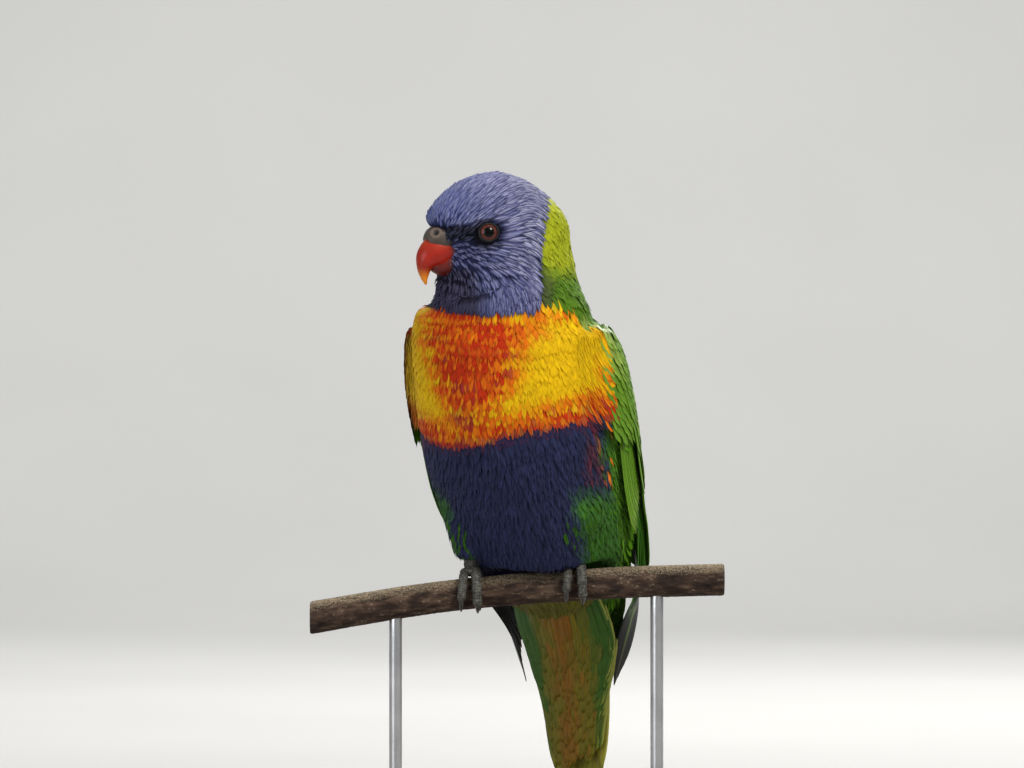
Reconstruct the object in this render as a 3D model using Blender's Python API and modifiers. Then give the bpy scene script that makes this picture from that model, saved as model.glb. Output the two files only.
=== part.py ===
"""A life-size rainbow lorikeet on a cut perch, held up by a plain display stand.

Metres, +Z up, with the origin in the middle of the base's underside. The chest faces -Y and a
little towards -X, and the head is turned further that way. The tables are in millimetres.
"""

import math

import bmesh
import bpy
import numpy as np
from mathutils import Vector
from mathutils.bvhtree import BVHTree

MM = 0.001
BODY_YAW = 24.0
HEAD_YAW = 70.0

PERCH_FOOT = (-1.0, -12.0)
PERCH_RADIUS = 6.2
FOOT_CLEARANCE = 4.6
TOE_GAP = 0.4

# The trunk's stations from the root of the tail to the crown. Forward and side are measured
# from the perch along and across the body, yaw turns the section, and the four last are radii
# and how far the front of the section is pinched towards the bill.
TRUNK_FIELDS = ("forward", "side", "height", "yaw", "front", "back", "flank", "pinch")
TRUNK = (
    (-38.5, 1.2, 112.0, 24, 12.0, 10.0, 18.5, 0.0),
    (-33.5, 1.0, 123.0, 24, 20.0, 14.5, 26.5, 0.0),
    (-26.0, 0.5, 136.0, 24, 30.0, 20.0, 33.0, 0.0),
    (-17.5, 0.0, 151.0, 24, 35.5, 26.0, 37.0, 0.0),
    (-9.0, -0.5, 167.0, 24, 37.0, 30.5, 39.5, 0.0),
    (-1.0, -0.5, 184.0, 24, 37.0, 32.5, 41.0, 0.0),
    (6.5, -0.5, 201.6, 24, 36.0, 32.5, 41.0, 0.0),
    (11.0, -1.2, 214.0, 24, 33.0, 30.0, 39.5, 0.0),
    (12.5, -1.5, 222.0, 26, 31.0, 28.5, 38.3, 0.0),
    (13.5, -1.0, 228.0, 32, 29.5, 28.0, 35.0, 0.0),
    (14.0, -1.2, 233.5, 42, 29.2, 29.4, 30.5, 0.04),
    (15.0, -2.0, 240.0, 56, 28.8, 30.6, 26.0, 0.12),
    (17.0, -3.0, 244.5, 62, 26.8, 30.8, 23.4, 0.18),
    (18.5, -3.0, 248.5, 67, 20.4, 30.9, 22.0, 0.22),
    (19.5, -3.0, 255.0, 70, 20.0, 30.7, 20.6, 0.25),
    (20.0, -3.0, 261.8, 70, 27.6, 29.9, 19.8, 0.28),
    (20.0, -3.0, 268.2, 70, 25.2, 26.0, 17.8, 0.16),
    (20.0, -3.0, 274.2, 70, 18.8, 18.4, 14.2, 0.10),
    (20.0, -3.0, 278.2, 70, 11.8, 11.2, 9.5, 0.0),
    (20.0, -3.0, 280.4, 70, 3.4, 3.2, 3.0, 0.0),
)
TORSO_TOP = 9.4
NECK_TOP = 11.0
HALF_GAP = 0.17
CROWN = len(TRUNK) - 1

# Lengths on the head are along its facing line, to its left, and in height.
HEAD_CENTRE = (20.0, -3.0)
EYE_PLACE = (8.0, 15.2, 257.4)
EYE_AIM = (0.22, 0.97, 0.05)
EYE_RADIUS = 4.4
LID_RING = (3.0, 4.1, 0.9)
NOSTRIL_PLACE = (23.6, 4.3, 259.0)
NOSTRIL_RADIUS = 0.8

UPPER_BILL = (
    # along, height, half height, half width
    (11.0, 252.0, 6.0, 5.6),
    (18.0, 252.4, 6.2, 5.8),
    (23.2, 251.2, 5.8, 5.5),
    (26.6, 248.4, 4.6, 4.7),
    (28.2, 244.6, 3.1, 3.3),
    (28.3, 241.0, 1.6, 1.7),
    (27.6, 237.9, 0.3, 0.4),
)
LOWER_BILL = (
    (11.0, 246.4, 4.2, 4.8),
    (17.0, 245.4, 4.6, 5.0),
    (21.5, 244.6, 4.0, 4.5),
    (24.4, 244.8, 2.6, 3.2),
    (26.0, 245.6, 0.8, 1.2),
)
CERE = (
    (14.0, 254.8, 5.8, 6.6),
    (19.0, 255.6, 5.9, 6.7),
    (22.8, 255.6, 5.4, 6.4),
    (25.6, 254.8, 4.0, 5.0),
)

# The perch's axis, left to right, with its radius.
PERCH = (
    (-83.0, 109.6, 6.5),
    (-60.0, 113.6, 6.4),
    (-35.0, 117.4, 6.25),
    (-10.0, 120.1, 6.2),
    (14.0, 121.9, 6.2),
    (45.0, 123.6, 6.25),
    (77.0, 124.4, 6.35),
)
BASE_RADIUS = 64.0
BASE_HEIGHT = 12.0
BASE_EDGE = 1.5
ROD_RADIUS = 2.5
ROD_PLACES = {"left": -50.0, "right": 51.0}

THIGHS = {
    # forward, side, height, radius
    "left": (
        (-12.0, 21.0, 172.0, 8.0),
        (-6.0, 21.5, 163.0, 13.0),
        (0.5, 21.0, 151.0, 14.0),
        (-2.5, 19.8, 141.0, 11.0),
        (-7.5, 18.5, 133.0, 6.8),
    ),
    "right": (
        (-8.0, -20.0, 172.0, 8.0),
        (0.0, -20.5, 163.0, 12.0),
        (5.0, -19.5, 151.0, 11.5),
        (7.0, -18.6, 141.0, 8.8),
        (7.5, -18.5, 133.0, 6.2),
    ),
}
FEET = {"left": 19.3, "right": -21.2}
TOE_RADIUS = 1.95
# Each toe's turn about the perch from its top, end turn, spread along the perch, and radius.
TOES = (
    ("front_inner", 4.0, 104.0, -2.1, -3.4, 1.75),
    ("front_outer", 4.0, 122.0, 2.1, 3.0, 1.95),
    ("hind_inner", -4.0, -86.0, -2.0, -3.6, 1.55),
    ("hind_outer", -4.0, -112.0, 2.0, 3.8, 1.8),
)
CLAW_TURN = 36.0

# The bed that the folded wings lie on: its axis runs down the trunk and on to the wing tips.
BED_HEIGHT = (70.0, 84.0, 100.0, 115.0, 130.0, 145.0, 160.0, 185.0, 202.0, 214.0, 230.0)
BED_AXIS = (-47.0, -46.0, -43.0, -38.0, -29.0, -21.0, -13.0, -2.0, 6.0, 10.0, 12.0)
BED_FLANK = (19.5, 22.0, 26.2, 30.5, 34.8, 37.2, 38.2, 0.0, 0.0, 0.0, 0.0)
BED_BACK = (9.0, 11.0, 14.0, 17.5, 21.5, 25.0, 28.0, 0.0, 0.0, 0.0, 0.0)
BED_GAP = 0.9
VANE_THICKNESS = 0.55
LAYER = 0.9

WING_HEIGHTS = (226, 220, 212, 203, 193, 182, 171, 160, 149, 138, 130)
WING_LEAD = (104, 94, 89, 87, 86, 87, 89, 92, 95, 97, 98)
WING_TRAIL = (128, 146, 157, 165, 168, 167, 163, 155, 144, 130, 118)
WING_LIFT = (0.9, 1.7, 2.2, 2.5, 2.9, 3.1, 3.1, 2.9, 2.6, 2.4, 1.6)
WING_COLUMNS = 7

TAIL_START = (-39.5, 109.0)
TAIL_PITCH = 78.0
TAIL_LENGTH = 94.0
TAIL_LAYER = 0.9
TAIL_LEAN = 2.8
TAIL_COVERTS = (
    # start, end, how many, half width, how much narrower at the tips, out at the root and tip
    (10.0, 58.0, 4, 8.5, 0.80, 1.2, 3.4),
    (5.0, 42.0, 5, 14.0, 0.86, 3.2, 5.4),
    (2.5, 26.0, 6, 17.8, 0.98, 5.6, 7.8),
    (8.0, 44.0, 5, 9.0, 0.80, -4.6, -5.4),
    (3.0, 27.0, 6, 13.5, 0.88, -6.2, -7.6),
)
TAIL_CORE = (
    # along, front, back, half width
    (8.0, 9.4, 7.8, 17.0),
    (17.0, 7.0, 6.2, 14.5),
    (28.0, 4.2, 4.6, 10.5),
    (40.0, 1.6, 3.4, 6.0),
)

COLOURS = {
    "blue": (0.10, 0.11, 0.42),
    "green": (0.13, 0.42, 0.03),
    "orange": (0.85, 0.22, 0.03),
    "tail": (0.30, 0.36, 0.03),
    "bill": (0.62, 0.05, 0.02),
    "grey": (0.16, 0.14, 0.14),
    "horn": (0.05, 0.045, 0.045),
    "eye": (0.20, 0.03, 0.02),
    "bark": (0.20, 0.11, 0.07),
    "wood": (0.10, 0.06, 0.04),
    "steel": (0.35, 0.35, 0.36),
}

parts = bpy.data.collections.new("rainbow_lorikeet")


def material(name):
    """The Principled material of that colour."""
    found = bpy.data.materials.get(name)
    if found is None:
        found = bpy.data.materials.new(name)
        found.use_nodes = True
        shader = found.node_tree.nodes["Principled BSDF"]
        shader.inputs["Base Color"].default_value = (*COLOURS[name], 1.0)
        shader.inputs["Roughness"].default_value = 0.3 if name in ("eye", "bill", "steel") else 0.7
        shader.inputs["Metallic"].default_value = 1.0 if name == "steel" else 0.0
    return found


def solid(name, points, faces, colour):
    """A smooth mesh object in the parts collection, from points in millimetres."""
    mesh = bpy.data.meshes.new(name)
    mesh.from_pydata([Vector(p) * MM for p in points], [], faces)
    mesh.materials.append(material(colour))
    mesh.shade_smooth()
    made = bpy.data.objects.new(name, mesh)
    parts.objects.link(made)
    return made


def spline(rows, t):
    """The value at t on a smooth curve through the rows, which sit at 0, 1, 2 and so on."""
    rows = np.asarray(rows, float)
    last = len(rows) - 1
    i = int(min(max(math.floor(t), 0), last - 1))
    u = t - i
    a, b = rows[i], rows[i + 1]
    before = rows[i - 1] if i > 0 else 2 * a - b
    after = rows[i + 2] if i + 2 <= last else 2 * b - a
    m0, m1 = (b - before) / 2, (after - a) / 2
    return (
        (2 * u**3 - 3 * u**2 + 1) * a
        + (u**3 - 2 * u**2 + u) * m0
        + (3 * u**2 - 2 * u**3) * b
        + (u**3 - u**2) * m1
    )


def bases(yaw):
    """The level facing direction of that yaw, and the direction to its left."""
    turn = math.radians(yaw)
    return (
        np.array((-math.sin(turn), -math.cos(turn), 0.0)),
        np.array((math.cos(turn), -math.sin(turn), 0.0)),
    )


def in_body(forward, side, height):
    """A point given along and across the body, in the part's frame."""
    facing, left = bases(BODY_YAW)
    return np.array((*PERCH_FOOT, height)) + forward * facing + side * left


def in_head(along, side, height):
    """A point given along and across the head, in the part's frame."""
    facing, left = bases(HEAD_YAW)
    return in_body(*HEAD_CENTRE, height) + along * facing + side * left


def loft_faces(rows, columns):
    """The quads of a closed loft of rings, with its two end caps."""
    faces = [tuple(reversed(range(columns)))]
    for r in range(rows - 1):
        for c in range(columns):
            d = (c + 1) % columns
            low, high = r * columns, (r + 1) * columns
            faces.append((low + c, low + d, high + d, high + c))
    faces.append(tuple(range((rows - 1) * columns, rows * columns)))
    return faces


def loft(name, rings, colour):
    """A closed loft through the rings, each turning anticlockwise seen from the far end."""
    points = [p for ring in rings for p in ring]
    return solid(name, points, loft_faces(len(rings), len(rings[0])), colour)


def tube(name, path, radii, sides, colour, squash=1.0, reach=0.0):
    """A loft of rings round a path, with its own radius at each point, longer by reach."""
    path = np.array(path, float)
    tangents = np.gradient(path, axis=0)
    tangents /= np.linalg.norm(tangents, axis=1)[:, None]
    path[0] -= tangents[0] * reach
    path[-1] += tangents[-1] * reach
    side = np.cross(tangents[0], (0.0, 0.0, 1.0))
    if np.linalg.norm(side) < 1e-6:
        side = np.array((1.0, 0.0, 0.0))
    rings = []
    for centre, tangent, radius in zip(path, tangents, radii):
        side = side - tangent * (side @ tangent)
        side = side / np.linalg.norm(side)
        up = np.cross(tangent, side)
        rings.append(
            [
                centre + radius * (math.cos(a) * side + squash * math.sin(a) * up)
                for a in np.linspace(0, 2 * math.pi, sides, endpoint=False)
            ]
        )
    return loft(name, rings, colour)


def evaluated_mesh(thing):
    """A plain copy of the object's mesh with its modifiers applied."""
    bpy.context.view_layer.update()
    graph = bpy.context.evaluated_depsgraph_get()
    return bpy.data.meshes.new_from_object(thing.evaluated_get(graph))


def keep_largest(mesh):
    """Removes every closed surface of the mesh but the largest."""
    work = bmesh.new()
    work.from_mesh(mesh)
    left = set(work.verts)
    islands = []
    while left:
        stack = [left.pop()]
        island = set(stack)
        while stack:
            for edge in stack.pop().link_edges:
                for vert in edge.verts:
                    if vert in left:
                        left.discard(vert)
                        island.add(vert)
                        stack.append(vert)
        islands.append(island)
    islands.sort(key=len)
    for island in islands[:-1]:
        bmesh.ops.delete(work, geom=list(island), context="VERTS")
    bmesh.ops.remove_doubles(work, verts=work.verts, dist=0.004 * MM)
    work.to_mesh(mesh)
    work.free()


def combine(thing, others, operation, solver="MANIFOLD"):
    """Joins the others to the thing, or cuts them from it, and removes them."""
    group = bpy.data.collections.new("combine")
    for other in others:
        for owner in list(other.users_collection):
            owner.objects.unlink(other)
        group.objects.link(other)
    bpy.context.scene.collection.children.link(group)
    change = thing.modifiers.new(operation.lower(), "BOOLEAN")
    change.operation = operation
    change.operand_type = "COLLECTION"
    change.collection = group
    change.solver = solver
    mesh = evaluated_mesh(thing)
    thing.modifiers.clear()
    keep_largest(mesh)
    thing.data = mesh
    mesh.shade_smooth()
    for other in others:
        bpy.data.objects.remove(other)
    bpy.data.collections.remove(group)
    return thing


def trunk_ring(t, sides, grow=0.0):
    """The trunk's section at t, from the root of the tail at 0 to the crown."""
    row = dict(zip(TRUNK_FIELDS, spline(TRUNK, t)))
    ahead, behind = (spline(TRUNK, min(max(t + d, 0), CROWN)) for d in (0.05, -0.05))
    tangent = in_body(*ahead[:3]) - in_body(*behind[:3])
    tangent = tangent / np.linalg.norm(tangent)
    facing, _ = bases(row["yaw"])
    facing = facing - tangent * (facing @ tangent)
    facing = facing / np.linalg.norm(facing)
    left = np.cross(tangent, facing)
    centre = in_body(row["forward"], row["side"], row["height"])
    ring = []
    for angle in np.linspace(0, 2 * math.pi, sides, endpoint=False):
        c, s = math.cos(angle), math.sin(angle)
        reach = max(row["front"] if c > 0 else row["back"], 0.01) + grow
        width = (max(row["flank"], 0.01) + grow) * (1 - row["pinch"] * max(0.0, c))
        ring.append(centre + reach * c * facing + width * s * left)
    return ring


def ring_axis(ring):
    """The direction square to a ring of the trunk, up along it."""
    a, b, c = (ring[i] for i in (0, len(ring) // 3, 2 * len(ring) // 3))
    normal = np.cross(b - a, c - a)
    return normal / np.linalg.norm(normal)


def trunk_loft(name, start, end, rings, sides, colour):
    """The trunk between two places along it as a closed loft, short of its ends by half a gap."""
    made = [trunk_ring(t, sides) for t in np.linspace(start, end, rings)]
    for index, way in ((0, 1), (-1, -1)):
        shift = way * ring_axis(made[index]) * HALF_GAP
        made[index] = [point + shift for point in made[index]]
    return loft(name, made, colour)


def trunk_tree():
    """The whole trunk's surface, for finding how far out it lies."""
    rings = [trunk_ring(t, 48) for t in np.linspace(0, CROWN, 64)]
    points = [Vector(p) for ring in rings for p in ring]
    return BVHTree.FromPolygons(points, loft_faces(64, 48))


TREE = trunk_tree()


def bed(height, turn, lift):
    """A point on the bed of the wings, lifted off it. Turn is from the front to the left."""
    facing, left = bases(BODY_YAW)
    forward = np.interp(height, BED_HEIGHT, BED_AXIS)
    centre = in_body(forward, 0.0, height)
    angle = math.radians(turn)
    way = math.cos(angle) * facing + math.sin(angle) * left
    hit = TREE.ray_cast(Vector(centre), Vector(way))
    trunk = hit[3] + BED_GAP if hit[0] is not None else 0.0
    flank = np.interp(height, BED_HEIGHT, BED_FLANK)
    back = np.interp(height, BED_HEIGHT, BED_BACK)
    free = 0.0
    if flank > 0:
        free = 1.0 / math.hypot(math.sin(angle) / flank, math.cos(angle) / back)
    return centre + way * (max(trunk, free) + lift)


def bed_normal(height, turn):
    """The direction out of the bed at that place."""
    across = bed(height, turn + 2, 0) - bed(height, turn - 2, 0)
    down = bed(height - 2, turn, 0) - bed(height + 2, turn, 0)
    normal = np.cross(down, across)
    return normal / np.linalg.norm(normal)


def vane(name, centres, normals, widths, tilt, colour, thickness=VANE_THICKNESS):
    """A feather as a thin slab: flat across, bent along, with its own width at each point."""
    tangents = np.gradient(np.asarray(centres), axis=0)
    count = len(centres)
    thick = np.full(count, thickness)
    thick[-1] = thickness * 0.6
    points = []
    for centre, tangent, normal, width, high in zip(centres, tangents, normals, widths, thick):
        side = np.cross(tangent, normal)
        side = side / np.linalg.norm(side)
        up = np.cross(side, tangent)
        up = up / np.linalg.norm(up)
        side, up = side + tilt * up, up - tilt * side
        for a, b in ((1, 1), (-1, 1), (-1, -1), (1, -1)):
            points.append(centre + side * a * width / 2 + up * b * high / 2)
    faces = [(0, 1, 2), (0, 2, 3)]
    for row in range(count - 1):
        low, high = row * 4, row * 4 + 4
        top = (low, low + 1, high + 1, high)
        under = (low + 3, low + 2, high + 2, high + 3)
        faces += [(top[0], top[2], top[1]), (top[0], top[3], top[2])]
        faces += [(under[0], under[1], under[2]), (under[0], under[2], under[3])]
        faces += [(low + 1, high + 1, high + 2), (low + 1, high + 2, low + 2)]
        faces += [(low, low + 3, high + 3), (low, high + 3, high)]
    end = (count - 1) * 4
    faces += [(end, end + 2, end + 1), (end, end + 3, end + 2)]
    return solid(name, points, faces, colour)


# How wide a feather is along its length, as a share of its width.
LONG_TIP = ((0.0, 0.8), (0.3, 1.0), (0.58, 0.84), (0.82, 0.56), (1.0, 0.16))
ROUND_TIP = ((0.0, 0.7), (0.45, 1.0), (0.8, 0.88), (1.0, 0.34))
TAIL_TIP = ((0.0, 0.9), (0.35, 1.1), (0.8, 0.75), (1.0, 0.28))


def wing_vane(side, root, tip, lifts, width, shape, tilt, colour="green"):
    """One feather of a wing, from its root to its tip, each a height and a turn."""
    centres, normals = [], []
    for u, _ in shape:
        height = root[0] + (tip[0] - root[0]) * u
        turn = root[1] + (tip[1] - root[1]) * u
        lift = lifts[0] + (lifts[1] - lifts[0]) * u
        centres.append(bed(height, side * turn, lift))
        normals.append(side * bed_normal(height, side * turn))
    widths = [width * share for _, share in shape]
    return vane("vane", centres, normals, widths, side * tilt, colour)


def spread(first, last, count):
    """Pairs running evenly from the first to the last."""
    return [tuple(np.array(first) + (np.array(last) - np.array(first)) * i / (count - 1)) for i in range(count)]


def wing_core(name, side):
    """The feathered arm of a wing: a low pad that lies on the bed."""
    rings = []
    for height, lead, trail, lift in zip(WING_HEIGHTS, WING_LEAD, WING_TRAIL, WING_LIFT):
        turns = np.linspace(lead, trail, WING_COLUMNS)
        share = np.linspace(-1, 1, WING_COLUMNS)
        outer = [bed(height, side * a, 0.5 + lift * (1 - 0.8 * s**4)) for a, s in zip(turns, share)]
        inner = [bed(height, side * a, 0.0) for a in reversed(turns)]
        rings.append(outer + inner)
    if side < 0:
        rings = [list(reversed(ring)) for ring in rings]
    return loft(name, list(reversed(rings)), "green")


def wing(name, side):
    """A folded wing: the arm with its coverts, secondaries and primaries in tiers."""
    made = wing_core(name, side)
    vanes = []
    for i in range(7):
        root, tip = (152 + 2.0 * i, 101 + 2.6 * i), (76 + 5.2 * i, 98 + 4.4 * i)
        vanes.append(wing_vane(side, root, tip, (1.5 + 0.2 * i, 1.0 + 0.8 * i), 8.6, LONG_TIP, 0.0))
    roots, tips = spread((176, 103), (192, 160), 9), spread((126, 106), (146, 171), 9)
    for root, tip in zip(roots, tips):
        vanes.append(wing_vane(side, root, tip, (2.9, 4.8), 10.5, ROUND_TIP, 0.2))
    roots, tips = spread((186, 98), (203, 158), 8), spread((158, 99), (174, 168), 8)
    for root, tip in zip(roots, tips):
        vanes.append(wing_vane(side, root, tip, (2.6, 5.0), 9.5, ROUND_TIP, 0.2))
    roots, tips = spread((204, 96), (215, 150), 7), spread((181, 95), (195, 160), 7)
    for root, tip in zip(roots, tips):
        vanes.append(wing_vane(side, root, tip, (1.9, 4.0), 10.0, ROUND_TIP, 0.16))
    return combine(made, vanes, "UNION")


def tail_point(along, side, out):
    """A point on the tail: along it from its root, to the left, and out towards the belly."""
    pitch = math.radians(TAIL_PITCH)
    side += TAIL_LEAN * max(0.0, 1 - along / 60)
    forward = TAIL_START[0] - along * math.cos(pitch) + out * math.sin(pitch)
    height = TAIL_START[1] - along * math.sin(pitch) - out * math.cos(pitch)
    return in_body(forward, side, height)


def tail_vane(root, tip, width, shape, tilt, colour):
    """One feather of the tail, from root to tip, each along, side and out."""
    facing, _ = bases(BODY_YAW)
    steps = [np.array(root) + (np.array(tip) - np.array(root)) * u for u, _ in shape]
    centres = [tail_point(*step) for step in steps]
    normals = [facing] * len(steps)
    widths = [width * share for _, share in shape]
    return vane("vane", centres, normals, widths, tilt, colour, TAIL_LAYER * 1.25)


def tail_root(columns):
    """The torso's lower end moved down by the gap, where the tail starts."""
    ring = trunk_ring(0.0, columns)
    shift = ring_axis(ring) * HALF_GAP
    return [point - shift for point in ring]


def tail():
    """The tail: a root, the long graduated feathers, and the coverts over and under them."""
    rings = [tail_root(24)]
    for along, front, back, half in TAIL_CORE:
        ring = []
        for angle in np.linspace(0, 2 * math.pi, 24, endpoint=False):
            c = math.cos(angle)
            ring.append(tail_point(along, half * math.sin(angle), (front if c > 0 else back) * c))
        rings.append(ring)
    made = loft("tail", list(reversed(rings)), "tail")
    vanes = []
    for k in range(5):
        for side in (-1, 1):
            layer = TAIL_LAYER * (k + (0.5 if side > 0 else 0.0)) - 3.4
            root = (10, side * (1.9 + 1.84 * k), layer * 0.4)
            tip = (TAIL_LENGTH - 7.5 * k, side * (1.6 + 1.7 * k), layer)
            vanes.append(tail_vane(root, tip, 10.0 - 0.4 * k, TAIL_TIP, 0.02 * side, "tail"))
    for start, end, count, half, narrow, out_root, out_tip in TAIL_COVERTS:
        for i in range(count):
            share = 2 * i / (count - 1) - 1
            root = (start, share * half, out_root)
            tip = (end - 6 * abs(share), share * half * narrow, out_tip * (1 - 0.1 * abs(share)))
            vanes.append(tail_vane(root, tip, 10.0, ROUND_TIP, 0.1 * share + 0.03, "tail"))
    return combine(made, vanes, "UNION")


def head_loft(name, rows, colour, grow=0.0, sides=14, steps=2):
    """A loft in the head's own plane through rows of along, height and the two half sizes."""
    count = (len(rows) - 1) * steps + 1
    rows = [spline(rows, i / steps) for i in range(count)]
    path = np.array([(row[0], row[1]) for row in rows])
    tangents = np.gradient(path, axis=0)
    tangents /= np.linalg.norm(tangents, axis=1)[:, None]
    path[0] -= tangents[0] * grow
    path[-1] += tangents[-1] * grow
    rings = []
    for (along, height), tangent, row in zip(path, tangents, rows):
        up = np.array((tangent[1], -tangent[0]))
        ring = []
        for angle in np.linspace(0, 2 * math.pi, sides, endpoint=False):
            out = up * math.cos(angle) * (max(row[2], 0.2) + grow)
            across = math.sin(angle) * (max(row[3], 0.2) + grow)
            ring.append(in_head(along + out[0], across, height + out[1]))
        rings.append(ring)
    return loft(name, rings, colour)


def ball(name, centre, radius, colour, sides=16):
    """A sphere in millimetres."""
    bpy.ops.mesh.primitive_uv_sphere_add(
        segments=sides, ring_count=sides // 2, radius=radius * MM, location=Vector(centre) * MM
    )
    return adopt(name, colour)


def adopt(name, colour):
    """Takes the object just added into the parts collection, with its transform applied."""
    made = bpy.context.object
    made.name = name
    made.data.name = name
    for owner in list(made.users_collection):
        owner.objects.unlink(made)
    parts.objects.link(made)
    made.data.transform(made.matrix_basis)
    made.matrix_basis.identity()
    made.data.materials.clear()
    made.data.materials.append(material(colour))
    made.data.shade_smooth()
    return made


def eye_places(side):
    """The centre of that side's eye, and the direction it looks."""
    along, out, height = EYE_PLACE
    centre = in_head(along, side * out, height)
    facing, left = bases(HEAD_YAW)
    aim = EYE_AIM[0] * facing + side * EYE_AIM[1] * left + np.array((0, 0, EYE_AIM[2]))
    return centre, aim / np.linalg.norm(aim)


def lid(side):
    """The ring of bare skin round an eye."""
    centre, aim = eye_places(side)
    out, major, minor = LID_RING
    bpy.ops.mesh.primitive_torus_add(
        major_segments=18,
        minor_segments=6,
        major_radius=major * MM,
        minor_radius=minor * MM,
        location=Vector(centre + aim * out) * MM,
        rotation=Vector(aim).to_track_quat("Z", "Y").to_euler(),
    )
    return adopt("lid", "blue")


def head():
    """The head with its lids, eye sockets and the pocket for the bill and cere."""
    made = trunk_loft("head", NECK_TOP, CROWN, 17, 28, "blue")
    combine(made, [lid(-1), lid(1)], "UNION")
    cutters = [ball("socket", eye_places(side)[0], EYE_RADIUS + 0.3, "eye") for side in (-1, 1)]
    cutters.append(head_loft("upper", UPPER_BILL, "bill", 0.3))
    cutters.append(head_loft("lower", LOWER_BILL, "bill", 0.3))
    cutters.append(head_loft("cere", CERE, "grey", 0.3))
    return combine(made, cutters, "DIFFERENCE")


def bill():
    """The two halves of the bill, and the cere with its nostrils."""
    head_loft("upper_bill", UPPER_BILL, "bill")
    lower = head_loft("lower_bill", LOWER_BILL, "bill")
    combine(lower, [head_loft("upper", UPPER_BILL, "bill", 0.3)], "DIFFERENCE")
    cere = head_loft("cere", CERE, "grey")
    cutters = [head_loft("upper", UPPER_BILL, "bill", 0.3), head_loft("lower", LOWER_BILL, "bill", 0.3)]
    along, out, height = NOSTRIL_PLACE
    for side in (-1, 1):
        cutters.append(ball("bore", in_head(along, side * out, height), NOSTRIL_RADIUS, "grey", 12))
    combine(cere, cutters, "DIFFERENCE")


def perch_at(x):
    """The height and radius of the perch at that place along it, in millimetres."""
    places = np.array(PERCH)
    fine = np.array([spline(PERCH, t) for t in np.linspace(0, len(PERCH) - 1, 61)])
    return np.interp(x, fine[:, 0], fine[:, 1]), np.interp(x, fine[:, 0], fine[:, 2]), places[0][0]


def perch_tube(name, grow, colour, reach=0.0, count=14, sides=16):
    """The perch's surface moved out by that much, or longer at both ends."""
    xs = np.linspace(PERCH[0][0] - reach, PERCH[-1][0] + reach, count)
    path = [(x, PERCH_FOOT[1], perch_at(x)[0]) for x in xs]
    radii = [perch_at(x)[1] + grow for x in xs]
    return tube(name, path, radii, sides, colour)


def toe_path(x, start, end, turn_in, turn_out, radius, count):
    """Points round the perch from one turn to another, with the toe's own radius."""
    path = []
    for u in np.linspace(0, 1, count):
        spot = x + turn_in + (turn_out - turn_in) * u
        height, perch, _ = perch_at(spot)
        angle = math.radians(start + (end - start) * u)
        out = perch + TOE_GAP + radius
        path.append((spot, PERCH_FOOT[1] - out * math.sin(angle), height + out * math.cos(angle)))
    return path


def foot(side):
    """A foot: its sole over the perch with two toes ahead and two behind, and their claws."""
    x = FEET[side]
    height, perch, _ = perch_at(x)
    top = height + perch + TOE_GAP
    path = [(x, PERCH_FOOT[1] + y, top + 1.9) for y in (-3.2, -1.5, 0.0, 1.5, 3.2)]
    made = tube(f"foot_{side}", path, (1.6, 2.9, 3.3, 2.9, 1.6), 12, "grey", 0.57)
    toes = []
    for number, (_, start, end, turn_in, turn_out, radius) in enumerate(TOES, 1):
        count = 9
        path = toe_path(x, start, end, turn_in, turn_out, radius, count)
        radii = [radius * (1.0 + 0.06 * math.cos(u * 6.5 * math.pi)) * (1 - 0.12 * u) for u in np.linspace(0, 1, count)]
        radii[-1] *= 0.72
        toes.append(tube("toe", path, radii, 10, "grey"))
        claw(f"claw_{side}_{number}", x, start, end, turn_out, radius)
    return combine(made, toes, "UNION")


def claw(name, x, start, end, turn_out, radius):
    """A hooked claw that starts off the end of its toe and tapers to a blunt tip."""
    way = 1 if end > start else -1
    perch = perch_at(x + turn_out)[1]
    first = end + way * math.degrees(0.32 / (perch + TOE_GAP + radius))
    last = first + way * CLAW_TURN
    path = []
    for u in np.linspace(0, 1, 6):
        spot = x + turn_out
        angle = math.radians(first + (last - first) * u)
        out = perch + TOE_GAP + radius - 0.35 * u
        path.append((spot, PERCH_FOOT[1] - out * math.sin(angle), perch_at(spot)[0] + out * math.cos(angle)))
    radii = [1.15 - 0.85 * u**1.3 for u in np.linspace(0, 1, 6)]
    return tube(name, path, radii, 8, "horn")


def thigh(name, side, grow=0.0):
    """The feathered thigh that comes down to the foot, as a loft of level rings."""
    rows = THIGHS[side]
    rings = []
    for t in np.linspace(0, len(rows) - 1, 8):
        forward, out, height, radius = spline(rows, t)
        height += 1.5 * grow * (t == 0) - 1.5 * grow * (t == len(rows) - 1)
        ring = []
        for angle in np.linspace(0, 2 * math.pi, 18, endpoint=False):
            ahead, across = math.cos(angle), math.sin(angle)
            reach = radius + grow
            ring.append(in_body(forward + reach * ahead, out + reach * across, height))
        rings.append(ring)
    return loft(name, list(reversed(rings)), "green")


def torso():
    """The torso, hollowed where the perch, the feet and the thighs are."""
    made = trunk_loft("torso", 0.0, TORSO_TOP, 17, 28, "orange")
    cutters = [perch_tube("groove", FOOT_CLEARANCE, "bark", 20.0)]
    cutters += [thigh("hollow", side, 0.3) for side in THIGHS]
    return combine(made, cutters, "DIFFERENCE")


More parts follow.
